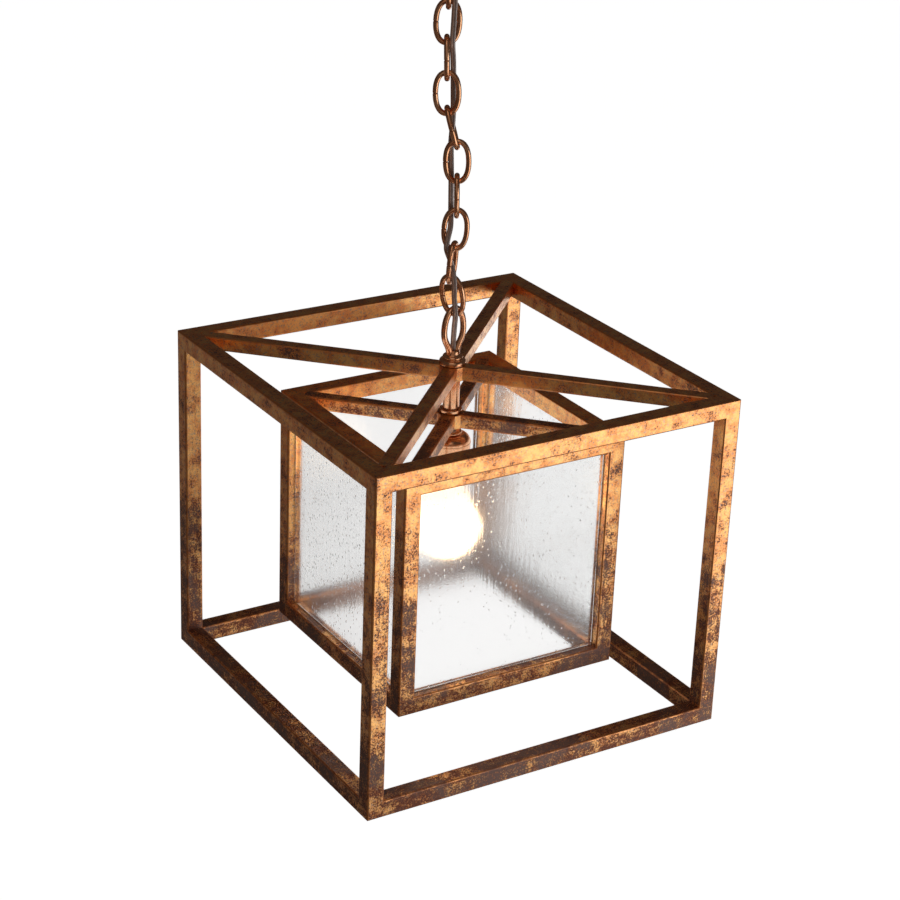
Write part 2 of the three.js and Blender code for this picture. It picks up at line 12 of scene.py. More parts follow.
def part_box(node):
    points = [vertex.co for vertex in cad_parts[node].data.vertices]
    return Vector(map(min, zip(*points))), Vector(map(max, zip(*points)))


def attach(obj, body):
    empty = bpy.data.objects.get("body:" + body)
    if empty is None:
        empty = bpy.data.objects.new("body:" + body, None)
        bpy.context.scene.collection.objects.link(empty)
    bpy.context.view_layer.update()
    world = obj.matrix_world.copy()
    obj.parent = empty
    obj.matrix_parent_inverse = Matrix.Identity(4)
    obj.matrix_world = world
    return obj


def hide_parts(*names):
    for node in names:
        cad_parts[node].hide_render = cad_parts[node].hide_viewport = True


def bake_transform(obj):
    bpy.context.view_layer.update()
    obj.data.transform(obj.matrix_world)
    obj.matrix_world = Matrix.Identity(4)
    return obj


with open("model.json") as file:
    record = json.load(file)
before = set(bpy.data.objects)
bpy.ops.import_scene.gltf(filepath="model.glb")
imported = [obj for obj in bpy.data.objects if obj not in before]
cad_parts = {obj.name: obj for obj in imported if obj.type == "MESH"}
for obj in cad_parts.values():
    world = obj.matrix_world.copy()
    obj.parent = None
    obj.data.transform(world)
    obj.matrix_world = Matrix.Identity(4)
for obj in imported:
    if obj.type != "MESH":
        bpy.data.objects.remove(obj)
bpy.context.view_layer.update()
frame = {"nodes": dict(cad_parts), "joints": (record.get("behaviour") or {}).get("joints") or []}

# ---- sizes ----
MM = 0.001
TUBE_WALL = 1.2 * MM
TUBE_CORNER = 1.6 * MM
WELD_REACH = 3 * MM  # how far a post or arm runs on into the tube it is welded to
WELD_STEP = 0.02 * MM  # how far it stays behind that tube's face
HUB_WELD = 4.2 * MM  # leg of the welds between the arms of an X
OUTER_ARM_PATINA = 0.02
# Painted shade: the inner X's arms get extra dark patina cover, standing for the shade that falls on them
# inside the lantern.
INNER_ARM_PAINTED_SHADE = 0.13
STEM_RADIUS = 7.35 * MM
PIPE_RADIUS = 5.5 * MM
PIPE_BORE = 4 * MM
LOOP_LIMB = 5.4 * MM
LOOP_WIDTH = 26.6 * MM
LOOP_WIDEST = 0.61  # share of a loop's rise at which it is widest
LOOP_TURN = 8.0  # degrees from +X to the plane of the lantern's loop
CHAIN_TURN = -32.3  # degrees from +X to the plane of the first links
BELL_RIM = 5 * MM
NECK_RADIUS = 6.2 * MM
NECK_HEIGHT = 13 * MM
LINK_WIRE = 4.6 * MM
LINK_LENGTH = 39.2 * MM
LINK_WIDTH = 23.9 * MM
LINK_SEAM = 0.4 * MM
LINK_FULLNESS = 2.3  # power of the oval that the links are bent to
WIRE_WIDTH = 4.7 * MM
WIRE_THICKNESS = 2.5 * MM
KNOB_RADIUS = 10.7 * MM
KNOB_HEIGHT = 3.6 * MM
DOME_HEIGHT = 6.6 * MM
INSULATOR_WALL = 3.5 * MM
INSULATOR_FLOOR = 8.8 * MM
SCREW_LEAD = 3.6 * MM
BULB_RADIUS = 30 * MM
PANE_REACH = 0.28 * MM  # how far the glass goes past its node, to meet the frame
WALLS = ("front", "right", "back", "left")


def corners(node):
    """Lowest and highest corner of a CAD node as arrays."""
    low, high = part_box(node)
    return np.array(low), np.array(high)


def unit(vectors):
    """Vectors divided by their lengths."""
    vectors = np.asarray(vectors, float)
    return vectors / np.linalg.norm(vectors, axis=-1, keepdims=True)


def frame_sizes(which):
    """Middle of the top face, side and height of one square frame, and its tube's size."""
    left, right = corners(f"{which}_top_rail_left"), corners(f"{which}_top_rail_right")
    front, back = corners(f"{which}_top_rail_front"), corners(f"{which}_top_rail_back")
    bottom = corners(f"{which}_bottom_rail_front")
    top = (front[0] + back[1]) / 2
    top[0] = (left[0][0] + right[1][0]) / 2
    top[2] = front[1][2]
    return top, right[1][0] - left[0][0], front[1][2] - bottom[0][2], front[1][2] - front[0][2]


outer_top, outer_side, outer_height, tube_size = frame_sizes("outer")
inner_top, inner_side, inner_height, _ = frame_sizes("inner")
arm_low, arm_high = corners("outer_brace_1")
brace_size = arm_high[2] - arm_low[2]
joints = {joint["name"]: joint for joint in frame["joints"]}

# ---- camera ----
view_aim = np.array([0.4896, 0.7738, -0.4019])
view_right = np.array([0.8529, -0.5208, 0.0364])
view_up = np.cross(view_right, view_aim)
eye = outer_top + outer_side * np.array([-2.818, -4.458, 2.085])
camera_data = bpy.data.cameras.new("camera")
camera_data.lens = 93.15
camera_data.sensor_width = 36
camera_data.clip_start = 0.05
camera_data.clip_end = 50
camera = bpy.data.objects.new("camera", camera_data)
turned = Matrix([unit(view_right), unit(view_up), unit(-view_aim)]).transposed()
camera.matrix_world = Matrix.Translation(Vector(eye)) @ turned.to_4x4()
bpy.context.scene.collection.objects.link(camera)
bpy.context.scene.camera = camera


# ---- shader nodes ----
def add(tree, kind, values=None, **settings):
    """One shader node: settings are its options, values its sockets, each a constant or an output."""
    node = tree.nodes.new(kind)
    for option, value in settings.items():
        setattr(node, option, value)
    for socket, value in (values or {}).items():
        if isinstance(value, bpy.types.NodeSocket):
            tree.links.new(value, node.inputs[socket])
        else:
            node.inputs[socket].default_value = value
    return node


def noise(tree, place, scale, detail=3.0, rough=0.55):
    """Noise from 0 to 1; scale is in features a metre."""
    values = {"Vector": place, "Scale": scale, "Detail": detail, "Roughness": rough}
    return add(tree, "ShaderNodeTexNoise", values).outputs["Fac"]


def ease(tree, value, low, high, first=0.0, last=1.0):
    """Smooth step from first to last as value goes from low to high."""
    values = {"Value": value, "From Min": low, "From Max": high, "To Min": first, "To Max": last}
    return add(tree, "ShaderNodeMapRange", values, interpolation_type="SMOOTHSTEP").outputs["Result"]


def calc(tree, operation, first, second=0.0, third=0.0):
    """One sum on numbers, kept between 0 and 1."""
    node = add(tree, "ShaderNodeMath", {0: first, 1: second, 2: third}, operation=operation)
    node.use_clamp = True
    return node.outputs[0]


def total(tree, start, *shares):
    """Start plus each value times its weight."""
    for value, weight in shares:
        values = {0: value, 1: weight, 2: start}
        start = add(tree, "ShaderNodeMath", values, operation="MULTIPLY_ADD").outputs[0]
    return start


def shade(tree, share, first, second):
    """Colour between first and second by share."""
    values = {0: share, 6: first, 7: second}
    return add(tree, "ShaderNodeMix", values, data_type="RGBA").outputs[2]


def rgb(red, green, blue):
    """Opaque linear colour."""
    return (red, green, blue, 1.0)


def new_material(name):
    """Empty node material: its tree, its Principled shader and its output."""
    material = bpy.data.materials.new(name)
    material.use_nodes = True
    tree = material.node_tree
    tree.nodes.clear()
    shader = tree.nodes.new("ShaderNodeBsdfPrincipled")
    output = tree.nodes.new("ShaderNodeOutputMaterial")
    tree.links.new(shader.outputs[0], output.inputs["Surface"])
    return material, tree, shader, output


def object_place(tree):
    """Object coordinates."""
    return add(tree, "ShaderNodeTexCoord").outputs["Object"]


def attribute(tree, name, output="Fac"):
    """A value that the mesh carries."""
    return add(tree, "ShaderNodeAttribute", attribute_name=name).outputs[output]


def plug(tree, shader, values):
    """Sets or joins several sockets of a shader."""
    for socket, value in values.items():
        if isinstance(value, bpy.types.NodeSocket):
            tree.links.new(value, shader.inputs[socket])
        else:
            shader.inputs[socket].default_value = value


def bump(tree, height, strength, distance, under=None):
    """Surface normal raised by height, over another bump if given."""
    values = {"Height": height, "Strength": strength, "Distance": distance}
    if under is not None:
        values["Normal"] = under
    return add(tree, "ShaderNodeBump", values).outputs["Normal"]


def antique_copper(name, polish):
    """Hand-rubbed copper under brown patina. Fine flecks of noise are cut off at a level that wanders over
    the piece and rises towards its foot, so the gold shows grey-brown pepper in one place and the brown
    shows copper flecks in another. Streaks run along each tube, and the edges show redder copper: partly
    wear through the patina and partly a painted edge highlight. Polish is the share of the patina that has
    been rubbed away again."""
    material, tree, shader, _ = new_material(name)
    place = object_place(tree)
    grain = attribute(tree, "grain", "Vector")
    edge = attribute(tree, "edge")
    height = add(tree, "ShaderNodeSeparateXYZ", {0: place}).outputs["Z"]
    foot = ease(tree, height, float(outer_top[2]), float(outer_top[2] - outer_height), -0.07, 0.10)
    wander = noise(tree, place, 26, 3, 0.6)
    cloud = noise(tree, place, 85, 4, 0.65)
    fleck = noise(tree, place, 640, 6, 0.78)
    streak = noise(tree, grain, 420, 4, 0.7)
    # Extra cover carried by the mesh: real patina, and painted shade on the inner X's arms.
    patina_and_shade = attribute(tree, "patina_and_shade")
    cover = total(tree, foot, (patina_and_shade, 1.0), (wander, 0.40), (cloud, 0.42), (streak, 0.20), (fleck, 0.80))
    # Edges: less patina and a redder copper, partly wear and partly a painted edge highlight on the rounded
    # arcs.
    wear_and_highlight = calc(tree, "MULTIPLY", edge, ease(tree, cloud, 0.66, 0.42, 0.3, 1.0))
    cover = total(tree, cover, (wear_and_highlight, -0.10))
    bare = 0.03 + 0.13 * polish
    dark = ease(tree, cover, 0.885 + bare, 0.970 + bare)
    haze = ease(tree, cover, 0.72 + bare, 0.90 + bare, 0.0, 0.45 - 0.15 * polish)
    gold = shade(tree, ease(tree, cloud, 0.40, 0.60), rgb(0.98, 0.53, 0.18), rgb(0.90, 0.36, 0.115))
    pink = shade(tree, ease(tree, cloud, 0.40, 0.60), rgb(0.90, 0.49, 0.27), rgb(0.78, 0.35, 0.17))
    gold = shade(tree, polish, gold, pink)
    gold = shade(tree, haze, gold, rgb(0.58, 0.23, 0.09))
    brown = shade(tree, ease(tree, wander, 0.42, 0.58), rgb(0.165, 0.046, 0.020), rgb(0.170, 0.095, 0.075))
    pepper = noise(tree, place, 470, 3, 0.7)
    grey_spots = ease(tree, pepper, 0.53, 0.63, 0.0, 0.62 - 0.40 * polish)
    copper_spots = ease(tree, pepper, 0.46, 0.36, 0.0, 0.60)
    gold = shade(tree, grey_spots, gold, rgb(0.33, 0.275, 0.25))
    brown = shade(tree, copper_spots, brown, rgb(0.62, 0.20, 0.06))
    colour = shade(tree, dark, gold, brown)
    # Painted edge highlight, with wear: redder, brighter copper laid on the edges.
    colour = shade(tree, calc(tree, "MULTIPLY", wear_and_highlight, 0.6), colour, rgb(0.84, 0.30, 0.11))
    smooth = 0.31 - 0.09 * polish
    rough = ease(tree, calc(tree, "ADD", dark, haze), 0.0, 1.4, smooth, smooth + 0.24)
    fine = bump(tree, noise(tree, grain, 1100, 3, 0.6), 0.2 - 0.17 * polish, 0.00012)
    relief = bump(tree, calc(tree, "MULTIPLY_ADD", dark, -0.35, cloud), 0.35 - 0.29 * polish, 0.0005, fine)
    plug(tree, shader, {
        "Base Color": colour,
        "Roughness": rough,
        "Metallic": ease(tree, dark, 0.0, 1.0, 0.94, 0.60),
        "Coat Weight": 0.15,
        "Coat Roughness": 0.30,
        "Normal": relief,
    })
    return material


def seeded_glass():
    """Clear antique glass: a faint upright ream, a soft haze, and small long seeds raised as drops."""
    material, tree, shader, output = new_material("seeded_glass")
    place = object_place(tree)
    ream_place = add(tree, "ShaderNodeMapping", {"Vector": place, "Scale": (1.0, 1.0, 0.10)}).outputs[0]
    ream = noise(tree, ream_place, 190, 2, 0.5)
    grit = noise(tree, place, 420, 3, 0.6)
    seed_place = add(tree, "ShaderNodeMapping", {"Vector": place, "Scale": (1.0, 1.0, 0.6)}).outputs[0]
    values = {"Vector": seed_place, "Scale": 300.0, "Randomness": 1.0}
    cells = add(tree, "ShaderNodeTexVoronoi", values, feature="F1")
    draw = add(tree, "ShaderNodeSeparateColor", {0: cells.outputs["Color"]}).outputs[0]
    chosen = ease(tree, draw, 0.50, 0.54)
    drop = calc(tree, "MULTIPLY", ease(tree, cells.outputs["Distance"], 0.24, 0.02), chosen)
    soft = bump(tree, ream, 0.25, 0.0006)
    soft = bump(tree, grit, 0.2, 0.00015, soft)
    seeds = bump(tree, drop, 0.7, 0.00035, soft)
    haze = ease(tree, drop, 0.0, 0.5, 0.155, 0.05)
    plug(tree, shader, {
        "Base Color": rgb(0.86, 0.865, 0.865),
        "Roughness": haze,
        "IOR": 1.40,
        "Transmission Weight": 1.0,
        "Normal": seeds,
    })
    through = add(tree, "ShaderNodeBsdfTransparent", {0: rgb(0.94, 0.95, 0.95)})
    shadow = add(tree, "ShaderNodeLightPath").outputs["Is Shadow Ray"]
    mixed = add(tree, "ShaderNodeMixShader", {0: shadow, 1: shader.outputs[0], 2: through.outputs[0]})
    tree.links.new(mixed.outputs[0], output.inputs["Surface"])
    return material


def glowing_glass():
    """Lit frosted bulb glass: brightest over the filament, a little warmer and dimmer towards the neck."""
    material, tree, shader, output = new_material("bulb_glass")
    place = object_place(tree)
    height = add(tree, "ShaderNodeSeparateXYZ", {0: place}).outputs["Z"]
    neck = ease(tree, height, bulb_middle[2], bulb_middle[2] + 0.05)
    cloud = noise(tree, place, 60, 2, 0.5)
    colour = shade(tree, neck, rgb(1.0, 0.73, 0.43), rgb(1.0, 0.56, 0.26))
    level = ease(tree, calc(tree, "MULTIPLY_ADD", cloud, 0.2, neck), 0.0, 1.2, 3.2, 1.7)
    plug(tree, shader, {
        "Base Color": rgb(0.92, 0.90, 0.86),
        "Roughness": ease(tree, cloud, 0.3, 0.7, 0.35, 0.5),
        "Emission Color": colour,
        "Emission Strength": level,
    })
    through = add(tree, "ShaderNodeBsdfTransparent", {0: rgb(0.95, 0.93, 0.90)})
    shadow = add(tree, "ShaderNodeLightPath").outputs["Is Shadow Ray"]
    mixed = add(tree, "ShaderNodeMixShader", {0: shadow, 1: shader.outputs[0], 2: through.outputs[0]})
    tree.links.new(mixed.outputs[0], output.inputs["Surface"])
    return material


def bright_brass():
    """Drawn brass with faint tarnish clouds and turning marks."""
    material, tree, shader, _ = new_material("bright_brass")
    place = object_place(tree)
    cloud = noise(tree, place, 160, 4, 0.6)
    marks = noise(tree, attribute(tree, "grain", "Vector"), 1400, 2, 0.5)
    colour = shade(tree, ease(tree, cloud, 0.4, 0.65), rgb(0.80, 0.57, 0.26), rgb(0.55, 0.33, 0.13))
    plug(tree, shader, {
        "Base Color": colour,
        "Metallic": 1.0,
        "Roughness": ease(tree, cloud, 0.35, 0.7, 0.24, 0.42),
        "Normal": bump(tree, marks, 0.2, 0.0001),
    })
    return material


def black_phenolic():
    """Moulded black phenolic with a faint mottle."""
    material, tree, shader, _ = new_material("black_phenolic")
    place = object_place(tree)
    mottle = noise(tree, place, 420, 3, 0.6)
    plug(tree, shader, {
        "Base Color": shade(tree, mottle, rgb(0.012, 0.011, 0.011), rgb(0.035, 0.028, 0.024)),
        "Roughness": ease(tree, mottle, 0.3, 0.7, 0.38, 0.55),
        "Normal": bump(tree, noise(tree, place, 1500, 2), 0.12, 0.0001),
    })
    return material


def zinc_steel():
    """Zinc-plated steel: grey spangle with a faint yellow cast and fine rolling lines."""
    material, tree, shader, _ = new_material("zinc_steel")
    place = object_place(tree)
    values = {"Vector": place, "Scale": 260.0}
    spangle = add(tree, "ShaderNodeTexVoronoi", values, feature="F1").outputs["Color"]
    tone = add(tree, "ShaderNodeSeparateColor", {0: spangle}).outputs[0]
    plug(tree, shader, {
        "Base Color": shade(tree, tone, rgb(0.50, 0.51, 0.52), rgb(0.66, 0.65, 0.60)),
        "Metallic": 1.0,
        "Roughness": ease(tree, tone, 0.0, 1.0, 0.32, 0.46),
        "Normal": bump(tree, noise(tree, place, 900, 3), 0.15, 0.0001),
    })
    return material


def brown_lead():
    """Clear brown twin lead: one lobe over bare copper strands, the other over tinned ones."""
    material, tree, shader, _ = new_material("brown_lead")
    grain = attribute(tree, "grain", "Vector")
    lobe = attribute(tree, "edge")
    strands = noise(tree, grain, 900, 2, 0.5)
    copper = shade(tree, strands, rgb(0.50, 0.33, 0.25), rgb(0.30, 0.18, 0.13))
    tinned = shade(tree, strands, rgb(0.48, 0.40, 0.37), rgb(0.30, 0.24, 0.22))
    plug(tree, shader, {
        "Base Color": shade(tree, ease(tree, lobe, 0.42, 0.58), copper, tinned),
        "Roughness": ease(tree, strands, 0.3, 0.7, 0.25, 0.4),
        "Metallic": 0.3,
        "Coat Weight": 0.6,
        "Coat Roughness": 0.12,
        "Normal": bump(tree, strands, 0.25, 0.0002),
    })
    return material


# ---- surfaces ----
def grid_faces(rows, columns, close_rows, close_columns, first):
    """Quads of a rows by columns grid of points, joined round in each direction that is closed."""
    row = np.arange(rows if close_rows else rows - 1)[:, None]
    column = np.arange(columns if close_columns else columns - 1)[None, :]
    next_row, next_column = (row + 1) % rows, (column + 1) % columns
    quads = np.stack([
        row * columns + column,
        row * columns + next_column,
        next_row * columns + next_column,
        next_row * columns + column,
    ], axis=-1)
    return quads.reshape(-1, 4) + first


def make_piece(name, body, finish, sheets, nodes=(), patina_and_shade=0.0):
    """Mesh from one or more grids. A sheet is (points, close rows, close columns, grain, edge): the points
    are rows by columns by 3, grain is the place its streaks are read at, and edge is 1 where the copper
    wears through and is given a painted edge highlight. Points that meet are merged, and each closed
    sheet is turned so that its faces point outwards."""
    points, faces, grains, edges = [], [], [], []
    first = 0
    for grid, close_rows, close_columns, grain, edge in sheets:
        rows, columns = grid.shape[:2]
        quads = grid_faces(rows, columns, close_rows, close_columns, first)
        flat = grid.reshape(-1, 3)
        a, b, c, d = (flat[quads[:, k] - first] for k in range(4))
        middle = flat.mean(axis=0)
        volume = np.einsum("ij,ij->", a - middle, np.cross(b - middle, c - middle))
        volume += np.einsum("ij,ij->", a - middle, np.cross(c - middle, d - middle))
        faces.append(quads if volume > 0 else quads[:, ::-1])
        points.append(flat)
        grains.append((grid if grain is None else grain).reshape(-1, 3))
        edges.append(np.broadcast_to(0.0 if edge is None else edge, (rows, columns)).ravel())
        first += rows * columns
    data = bpy.data.meshes.new(name)
    data.from_pydata(np.concatenate(points), [], np.concatenate(faces))
    carried = data.attributes.new("grain", "FLOAT_VECTOR", "POINT")
    carried.data.foreach_set("vector", np.concatenate(grains).astype(np.float32).ravel())
    carried = data.attributes.new("edge", "FLOAT", "POINT")
    carried.data.foreach_set("value", np.concatenate(edges).astype(np.float32))
    # Extra patina cover, which on the inner X's arms is painted shade.
    carried = data.attributes.new("patina_and_shade", "FLOAT", "POINT")
    carried.data.foreach_set("value", np.full(len(data.vertices), patina_and_shade, np.float32))
    work = bmesh.new()
    work.from_mesh(data)
    bmesh.ops.remove_doubles(work, verts=work.verts, dist=2e-7)
    bmesh.ops.dissolve_degenerate(work, edges=work.edges, dist=1e-8)
    work.to_mesh(data)
    work.free()
    data.polygons.foreach_set("use_smooth", np.ones(len(data.polygons), bool))
    data.set_sharp_from_angle(angle=math.radians(38))
    data.materials.append(finish)
    piece = bpy.data.objects.new(name, data)
    bpy.context.scene.collection.objects.link(piece)
    if nodes:
        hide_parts(*nodes)
    if body:
        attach(piece, body)
    return piece


def rounded(outline, radius, closed=False, steps=5):
    """Outline with its corners rounded: each corner becomes the quadratic curve from a point on one leg to
    the point as far along the next, radius away or half of the shorter leg."""
    outline = np.array(outline, float)
    if closed:
        before, here, after = np.roll(outline, 1, 0), outline, np.roll(outline, -1, 0)
    else:
        before, here, after = outline[:-2], outline[1:-1], outline[2:]
    back = np.linalg.norm(before - here, axis=1, keepdims=True)
    on = np.linalg.norm(after - here, axis=1, keepdims=True)
    reach = np.minimum(np.minimum(back, on) * 0.48, radius)
    start = here + (before - here) / back * reach
    stop = here + (after - here) / on * reach
    t = np.linspace(0, 1, steps)[None, :, None]
    curve = (1 - t) ** 2 * start[:, None] + 2 * t * (1 - t) * here[:, None] + t ** 2 * stop[:, None]
    curve = curve.reshape(-1, 2)
    return curve if closed else np.concatenate([outline[:1], curve, outline[-1:]])


def lathe(outline, axis_top, closed=False, segments=64, flip=1.0, thread=None):
    """Half outline of radius and height turned about the vertical through axis_top: a grid with one row for
    each outline point and one column for each step round. A thread adds to the radius
    depth * sin(angle + 2 pi * height / lead), and runs out at both ends."""
    outline = np.asarray(outline, float)
    angle = np.linspace(0, 2 * np.pi, segments, endpoint=False)[None, :]
    radius = np.repeat(outline[:, :1], segments, axis=1)
    height = outline[:, 1:] * np.ones_like(angle)
    if thread is not None:
        low, high, depth, lead = thread
        cut = np.clip((height - low) / lead, 0, 1) * np.clip((high - height) / lead, 0, 1)
        radius = radius + depth * cut * np.sin(angle + 2 * np.pi * height / lead)
    grid = np.stack([
        axis_top[0] + radius * np.cos(angle),
        axis_top[1] + radius * np.sin(angle),
        axis_top[2] + flip * height,
    ], axis=-1)
    grain = np.stack([radius, angle * 0.0004 + 0 * radius, height], axis=-1)
    return grid, closed, True, grain, None


def carried_ring(path, across, normal, reach, steps=24):
    """Round section carried along a path: point + radius * (cos * across + sin * normal) at each step."""
    angle = np.linspace(0, 2 * np.pi, steps, endpoint=False)[None, :, None]
    reach = np.asarray(reach, float).reshape(-1, 1, 1)
    return path[:, None] + reach * (np.cos(angle) * across[:, None] + np.sin(angle) * normal[:, None])


def run(path):
    """Distance along a path at each of its points."""
    steps = np.linalg.norm(np.diff(path, axis=0), axis=1)
    return np.concatenate([[0.0], np.cumsum(steps)])


# ---- square tubes ----
def tube_profile(size, corner, steps):
    """Points round a square with rounded corners, as (y, z), and how far each is round a corner's arc. Each
    arc has one more point close beyond each of its ends, which keeps the flats flat."""
    half = size / 2 - corner
    beyond = 0.35 * MM
    arc = np.linspace(0, np.pi / 2, steps)
    turn = (np.arange(4) * np.pi / 2)[:, None]
    middle = np.stack([np.sign(np.cos(turn + np.pi / 4)), np.sign(np.sin(turn + np.pi / 4))], -1) * half
    bend = middle + corner * np.stack([np.cos(turn + arc), np.sin(turn + arc)], -1)
    first = bend[:, :1] + beyond * np.stack([np.sin(turn), -np.cos(turn)], -1)
    last = bend[:, -1:] + beyond * np.stack([-np.cos(turn), -np.sin(turn)], -1)
    points = np.concatenate([first, bend, last], axis=1).reshape(-1, 2)
    # Wear and painted edge highlight, strongest in the middle of each corner's arc.
    wear_and_highlight = np.concatenate([[0.0], np.sin(np.linspace(0.12, 0.88, steps) * np.pi), [0.0]])
    return points, np.tile(wear_and_highlight, 4)


def tube_piece(name, origin, along, outward, size, cut_low, cut_high, mitred, patina_and_shade=0.0):
    """Hollow square tube: the profile carried along a straight line, its ends cut where cut_low and
    cut_high say for each profile point, then the bore carried back. A mitred tube's outer upright corner is
    rounded: points beyond the corner's centre are drawn in to a circle about it."""
    along, outward = unit(along), unit(outward)
    upward = np.cross(along, outward)
    profile, wear_and_highlight = tube_profile(size, TUBE_CORNER, 7)
    bore, _ = tube_profile(size - 2 * TUBE_WALL, 0.4 * MM, 7)
    low, high = cut_low(profile[:, 0]), cut_high(profile[:, 0])
    into = np.array([0, 0.2, 0.45, 0.7, 1.0, 1.3, 1.6, 2.1])[:, None] * MM
    x = np.concatenate([low + into, high - into[::-1]])
    y = np.repeat(profile[None, :, 0], len(x), axis=0)
    z = np.repeat(profile[None, :, 1], len(x), axis=0)
    edge = np.repeat(wear_and_highlight[None, :], len(x), axis=0)
    if mitred:
        for end in (-1, 1):
            tip = (high.max() if end > 0 else -low.min()) - TUBE_CORNER
            out_x, out_y = end * x - tip, y - (size / 2 - TUBE_CORNER)
            far = np.hypot(out_x, out_y)
            beyond = (out_x > 0) & (out_y > 0) & (far > TUBE_CORNER)
            pull = np.where(beyond, TUBE_CORNER / np.maximum(far, 1e-9), 1.0)
            x = np.where(beyond, end * (tip + out_x * pull), x)
            y = np.where(beyond, size / 2 - TUBE_CORNER + out_y * pull, y)
            near = (out_x > 0) & (out_y > 0)
            # The rounded tip of a mitre gets the same wear and painted edge highlight.
            tip_wear_and_highlight = np.clip(out_x * out_y / TUBE_CORNER ** 2 * 2, 0, 1)
            edge = np.where(near, np.maximum(edge, tip_wear_and_highlight), edge)
    bore_x = np.stack([cut_high(bore[:, 0]), cut_low(bore[:, 0])])
    x = np.concatenate([x, bore_x])
    y = np.concatenate([y, np.repeat(bore[None, :, 0], 2, axis=0)])
    z = np.concatenate([z, np.repeat(bore[None, :, 1], 2, axis=0)])
    edge = np.concatenate([edge, np.zeros((2, len(bore)))])
    grid = origin + x[..., None] * along + y[..., None] * outward + z[..., None] * upward
    squeezed = grid - 0.955 * (grid @ along)[..., None] * along
    node = name.removesuffix("_tube")
    sheet = (grid, True, True, squeezed, edge)
    return make_piece(name, "lantern", copper, [sheet], [node], patina_and_shade)


def hub_weld(which, i, top, outward):
    """Weld in the upright corner between two arms of an X: its face is a quarter circle that leaves both
    arms smoothly, and it is closed above and below by flat ends with eased rims."""
    reach = HUB_WELD
    corner = top + outward * brace_size / 2 * math.sqrt(2)
    bend = np.linspace(0, np.pi / 2, 9)
    sunk = -0.5 * MM
    along = np.concatenate([[sunk], reach * (1 - np.sin(bend)), [sunk]])
    aside = np.concatenate([[reach], reach * (1 - np.cos(bend)), [sunk]])
    sideways = np.array([-outward[1], outward[0], 0])
    first, second = unit(outward + sideways), unit(outward - sideways)
    flat = corner + along[:, None] * first + aside[:, None] * second
    middle = corner + outward * reach * 0.2
    levels = np.array([0.15, 0.15, 0.3, 0.8]) * MM
    levels = np.concatenate([levels, brace_size - levels[::-1]])
    shares = np.array([0, 0.94, 1, 1, 1, 1, 0.94, 0])[:, None, None]
    grid = middle + shares * (flat - middle)[None] - levels[:, None, None] * [0, 0, 1]
    node = f"{which}_brace_{i + 1}"
    # The weld gets some wear and painted edge highlight all over.
    sheet = (grid, False, True, None, 0.2)
    name = f"{which}_hub_weld_{i + 1}"
    make_piece(name, "lantern", copper, [sheet], [node], 0.05)


def square_frame(which, top, side, height, hub):
    """One frame: mitred rails, posts run on into the rails, and four arms cut round the hub and pointed
    into the corners, with a weld between each two."""
    half = tube_size / 2
    # The inner X's arms take more dark cover, as painted shade.
    arm_patina_and_shade = INNER_ARM_PAINTED_SHADE if which == "inner" else OUTER_ARM_PATINA
    for i, wall in enumerate(WALLS):
        quarter = (i - 2) * np.pi / 2
        outward = np.array([-math.sin(quarter), math.cos(quarter), 0])
        along = np.array([math.cos(quarter), math.sin(quarter), 0])
        reach = side / 2
        for level, z in (("top", -half), ("bottom", half - height)):
            origin = top + outward * (reach - half) + [0, 0, z]
            tube_piece(
                f"{which}_{level}_rail_{wall}_tube", origin, along, outward, tube_size,
                lambda y: -(reach - (half - y)), lambda y: reach - (half - y), True,
            )
        diagonal = unit(outward + np.array([outward[1], -outward[0], 0]) * -1)
        post_at = top + diagonal * (reach - half) * math.sqrt(2) + [0, 0, -height / 2]
        stand = height / 2 - tube_size + WELD_REACH
        tube_piece(
            f"{which}_post_{i + 1}_tube", post_at, [0, 0, 1], outward, tube_size - 2 * WELD_STEP,
            lambda y: -stand + 0 * y, lambda y: stand + 0 * y, False,
        )
        arm_end = (reach - tube_size) * math.sqrt(2) + WELD_REACH
        sideways = np.array([-diagonal[1], diagonal[0], 0])
        tube_piece(
            f"{which}_brace_{i + 1}_tube", top + [0, 0, -brace_size / 2 - WELD_STEP], diagonal, sideways,
            brace_size,
            lambda y: np.maximum(np.abs(y), np.sqrt(np.maximum(hub ** 2 - y ** 2, 0))),
            lambda y: arm_end - np.abs(y), False, arm_patina_and_shade,
        )
        hub_weld(which, i, top, outward)


# ---- chain ----
def link_outline(seam):
    """Middle line of a link with its direction, from one side of the butt seam round to the other, by
    distance along it: the oval |x / a| ** n + |z / b| ** n = 1, an ellipse at n = 2, fuller above."""
    turn = np.linspace(0, 2 * np.pi, 4001)
    power = 2 / LINK_FULLNESS
    dense = np.stack([
        -(LINK_WIDTH - LINK_WIRE) / 2 * np.sign(np.cos(turn)) * np.abs(np.cos(turn)) ** power,
        (LINK_LENGTH - LINK_WIRE) / 2 * np.sign(np.sin(turn)) * np.abs(np.sin(turn)) ** power,
    ], -1)
    length = run(dense)
    s = np.linspace(seam / 2, length[-1] - seam / 2, 72)
    line = np.stack([np.interp(s, length, dense[:, k]) for k in range(2)], -1)
    tangent = unit(np.gradient(line, axis=0))
    tangent[[0, -1]] = [0, 1]
    return line, tangent, s


